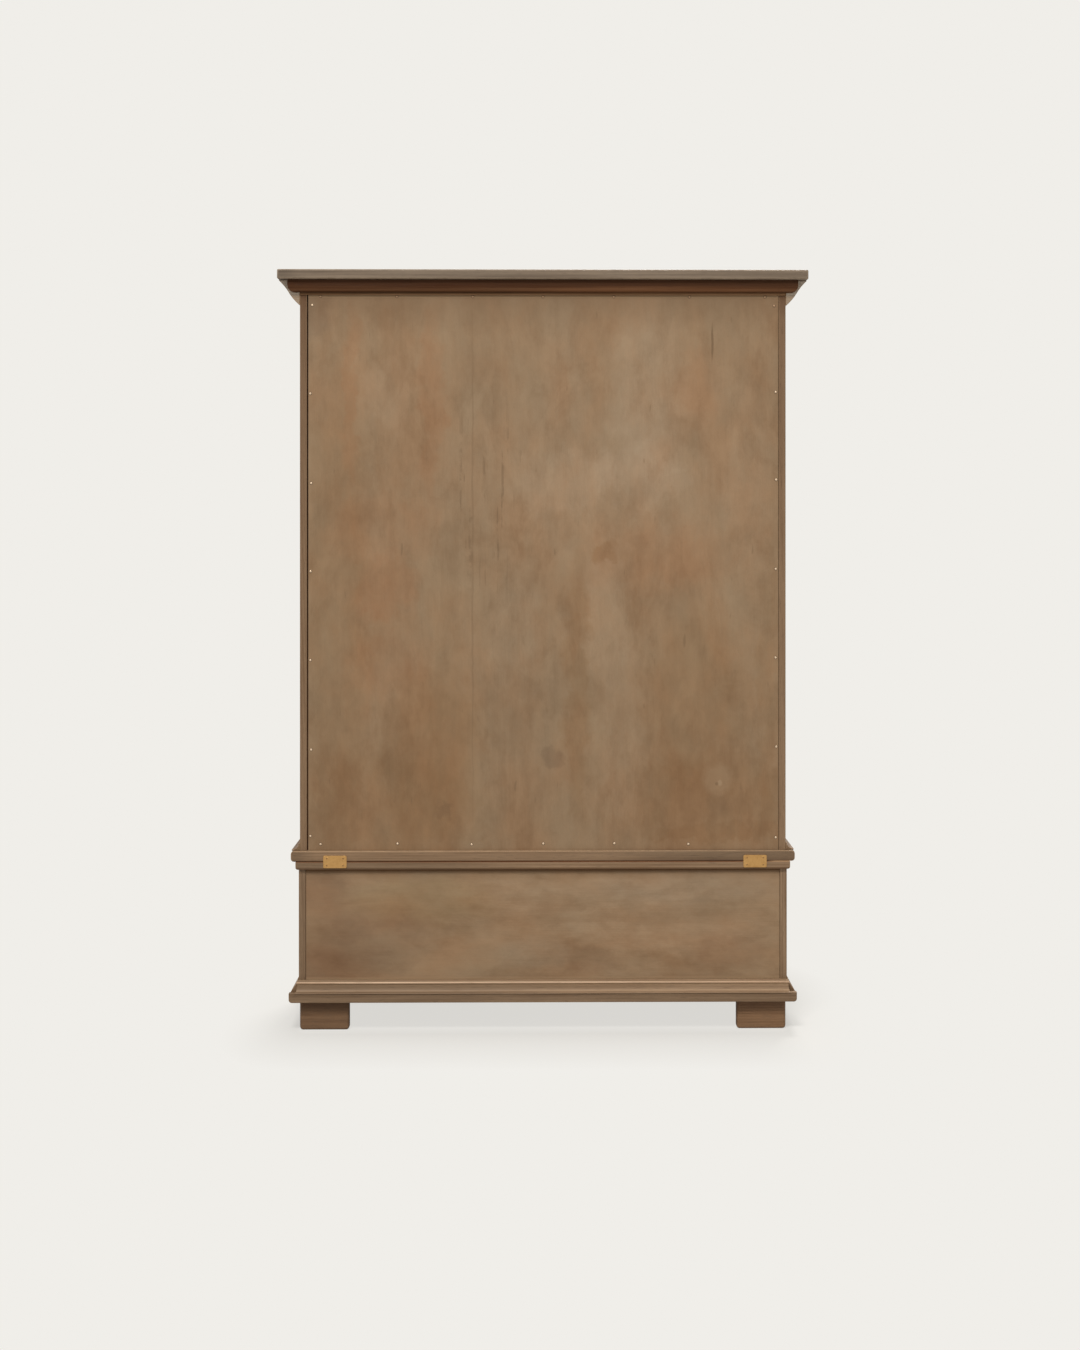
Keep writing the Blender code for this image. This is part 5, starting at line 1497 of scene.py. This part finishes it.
def pale_floor(name, background, shadow_share, room_level):
    """A floor in the colour of the surroundings that keeps a faint shadow near the cabinet."""
    recipe = Recipe(name)
    recipe.tree.nodes.remove(recipe.shader)
    bounce = recipe.add("ShaderNodeBsdfDiffuse", {"Color": toned(background, 0.7)})
    shadowed = recipe.add("ShaderNodeBsdfDiffuse", {"Color": toned(background, room_level)})
    plain = recipe.add("ShaderNodeEmission", {"Color": toned(background, 1.0), "Strength": 1.0})
    share = recipe.shades(
        way_from_cabinet(recipe, fade_across=0.18, fade_deep=0.42),
        under=(0.0, (shadow_share,) * 4),
        edge=(0.16, (shadow_share * 1.9,) * 4),
        near=(0.45, (shadow_share * 1.15,) * 4),
        open_floor=(1.0, (0.0,) * 4),
    )
    shown = recipe.mixed(share, plain.outputs["Emission"], shadowed.outputs["BSDF"])
    both = recipe.mixed(recipe.seen_directly(), bounce.outputs["BSDF"], shown)
    recipe.feed(recipe.tree.nodes["Material Output"].inputs["Surface"], both)
    return recipe.material


def light_room(studio):
    """Even light from all round, and the background as the camera sees it."""
    world = bpy.data.worlds.new("pale_room")
    bpy.context.scene.world = world
    world.use_nodes = True
    room = Nodes(world.node_tree)
    even = room.tree.nodes["Background"]
    room.feed(even.inputs["Color"], (1.0, 0.985, 0.965, 1.0))
    room.feed(even.inputs["Strength"], studio.sky_strength)
    seen = room.add("ShaderNodeBackground", {"Color": toned(studio.background, 1.0)})
    both = room.mixed(room.seen_directly(), even.outputs["Background"],
                      seen.outputs["Background"])
    room.feed(room.tree.nodes["World Output"].inputs["Surface"], both)


def hang_lamp(name, power, place):
    """A large, soft, square lamp that points at the cabinet."""
    lamp = bpy.data.lights.new(name, "AREA")
    lamp.energy = power
    lamp.size = LAMP_SIZE
    lamp.color = (1.0, 0.985, 0.96)
    holder = bpy.data.objects.new(name, lamp)
    bpy.context.scene.collection.objects.link(holder)
    holder.location = place
    towards = LAMP_TARGET - Vector(place)
    holder.rotation_euler = towards.to_track_quat("-Z", "Y").to_euler()


def set_camera(studio):
    """A camera behind the cabinet, with the picture shifted instead of the camera tilted."""
    camera = bpy.data.cameras.new("back_view")
    holder = bpy.data.objects.new("back_view", camera)
    bpy.context.scene.collection.objects.link(holder)
    holder.location = (studio.camera_sideways, PLY_FACE + studio.camera_distance,
                       studio.camera_height)
    holder.rotation_euler = (math.radians(90), 0.0, math.radians(180) - studio.camera_turn)
    camera.sensor_fit = "AUTO"
    camera.sensor_width = 36.0
    camera.lens = camera.sensor_width * studio.camera_distance / studio.view_height
    turned_away = studio.camera_distance * math.tan(studio.camera_turn)
    camera.shift_x = -turned_away / studio.view_height
    camera.shift_y = (studio.view_middle - studio.camera_height) / studio.view_height
    bpy.context.scene.camera = holder


class CABINET_OT_studio(bpy.types.Operator):
    """Lay the floor, hang the lamps and set the camera behind the cabinet"""

    bl_idname = "cabinet.studio"
    bl_label = "Set up the studio"

    def execute(self, context):
        studio = context.scene.cabinet_studio
        bpy.ops.object.select_all(action="DESELECT")
        bpy.ops.mesh.primitive_plane_add(size=24.0)
        floor = bpy.context.active_object
        settle(floor, "studio_floor")
        floor.data.materials.append(pale_floor("pale_floor", studio.background,
                                               shadow_share=0.22, room_level=0.74))
        light_room(studio)
        hang_lamp("key_lamp", studio.key_power, (1.5, 6.8, 9.0))
        hang_lamp("front_lamp", studio.fill_power, (-1.5, -6.8, 9.0))
        set_camera(studio)
        context.scene.view_settings.view_transform = "Standard"
        return {"FINISHED"}


class CABINET_PT_workshop(bpy.types.Panel):
    """The steps of finishing the cabinet, with its colours and sizes"""

    bl_idname = "CABINET_PT_workshop"
    bl_label = "Tall cabinet"
    bl_space_type = "VIEW_3D"
    bl_region_type = "UI"
    bl_category = "Cabinet"

    def draw(self, context):
        layout = self.layout
        for name in SETTINGS:
            settings = getattr(context.scene, name)
            box = layout.box()
            box.label(text=type(settings).__doc__)
            for field in settings.bl_rna.properties:
                if not field.is_readonly and field.identifier != "name":
                    box.prop(settings, field.identifier)
        for step in STEPS:
            layout.operator(step.bl_idname)


STEPS = (
    CABINET_OT_cornice,
    CABINET_OT_upper_case,
    CABINET_OT_shelves,
    CABINET_OT_doors,
    CABINET_OT_panel_beads,
    CABINET_OT_waist,
    CABINET_OT_chest,
    CABINET_OT_drawer,
    CABINET_OT_base,
    CABINET_OT_knobs,
    CABINET_OT_hinges,
    CABINET_OT_nails,
    CABINET_OT_plate_screws,
    CABINET_OT_hinge_screws,
    CABINET_OT_studio,
)
SETTINGS = {
    "cabinet_finishes": CabinetFinishes,
    "cabinet_fittings": CabinetFittings,
    "cabinet_studio": CabinetStudio,
}
CLASSES = (*SETTINGS.values(), *STEPS, CABINET_PT_workshop)


def register():
    """Make the settings, the steps and the panel known to Blender."""
    for kind in CLASSES:
        bpy.utils.register_class(kind)
    for name, kind in SETTINGS.items():
        setattr(bpy.types.Scene, name, bpy.props.PointerProperty(type=kind))


def unregister():
    """Take them away again."""
    for name in SETTINGS:
        delattr(bpy.types.Scene, name)
    for kind in reversed(CLASSES):
        bpy.utils.unregister_class(kind)


def main():
    """Finish the whole cabinet, step by step."""
    register()
    bpy.ops.cabinet.cornice()
    bpy.ops.cabinet.upper_case()
    bpy.ops.cabinet.shelves()
    bpy.ops.cabinet.doors()
    bpy.ops.cabinet.panel_beads()
    bpy.ops.cabinet.waist()
    bpy.ops.cabinet.chest()
    bpy.ops.cabinet.drawer()
    bpy.ops.cabinet.base()
    bpy.ops.cabinet.knobs()
    bpy.ops.cabinet.hinges()
    bpy.ops.cabinet.nails()
    bpy.ops.cabinet.plate_screws()
    bpy.ops.cabinet.hinge_screws()
    bpy.ops.cabinet.studio()


if __name__ == "__main__":
    main()
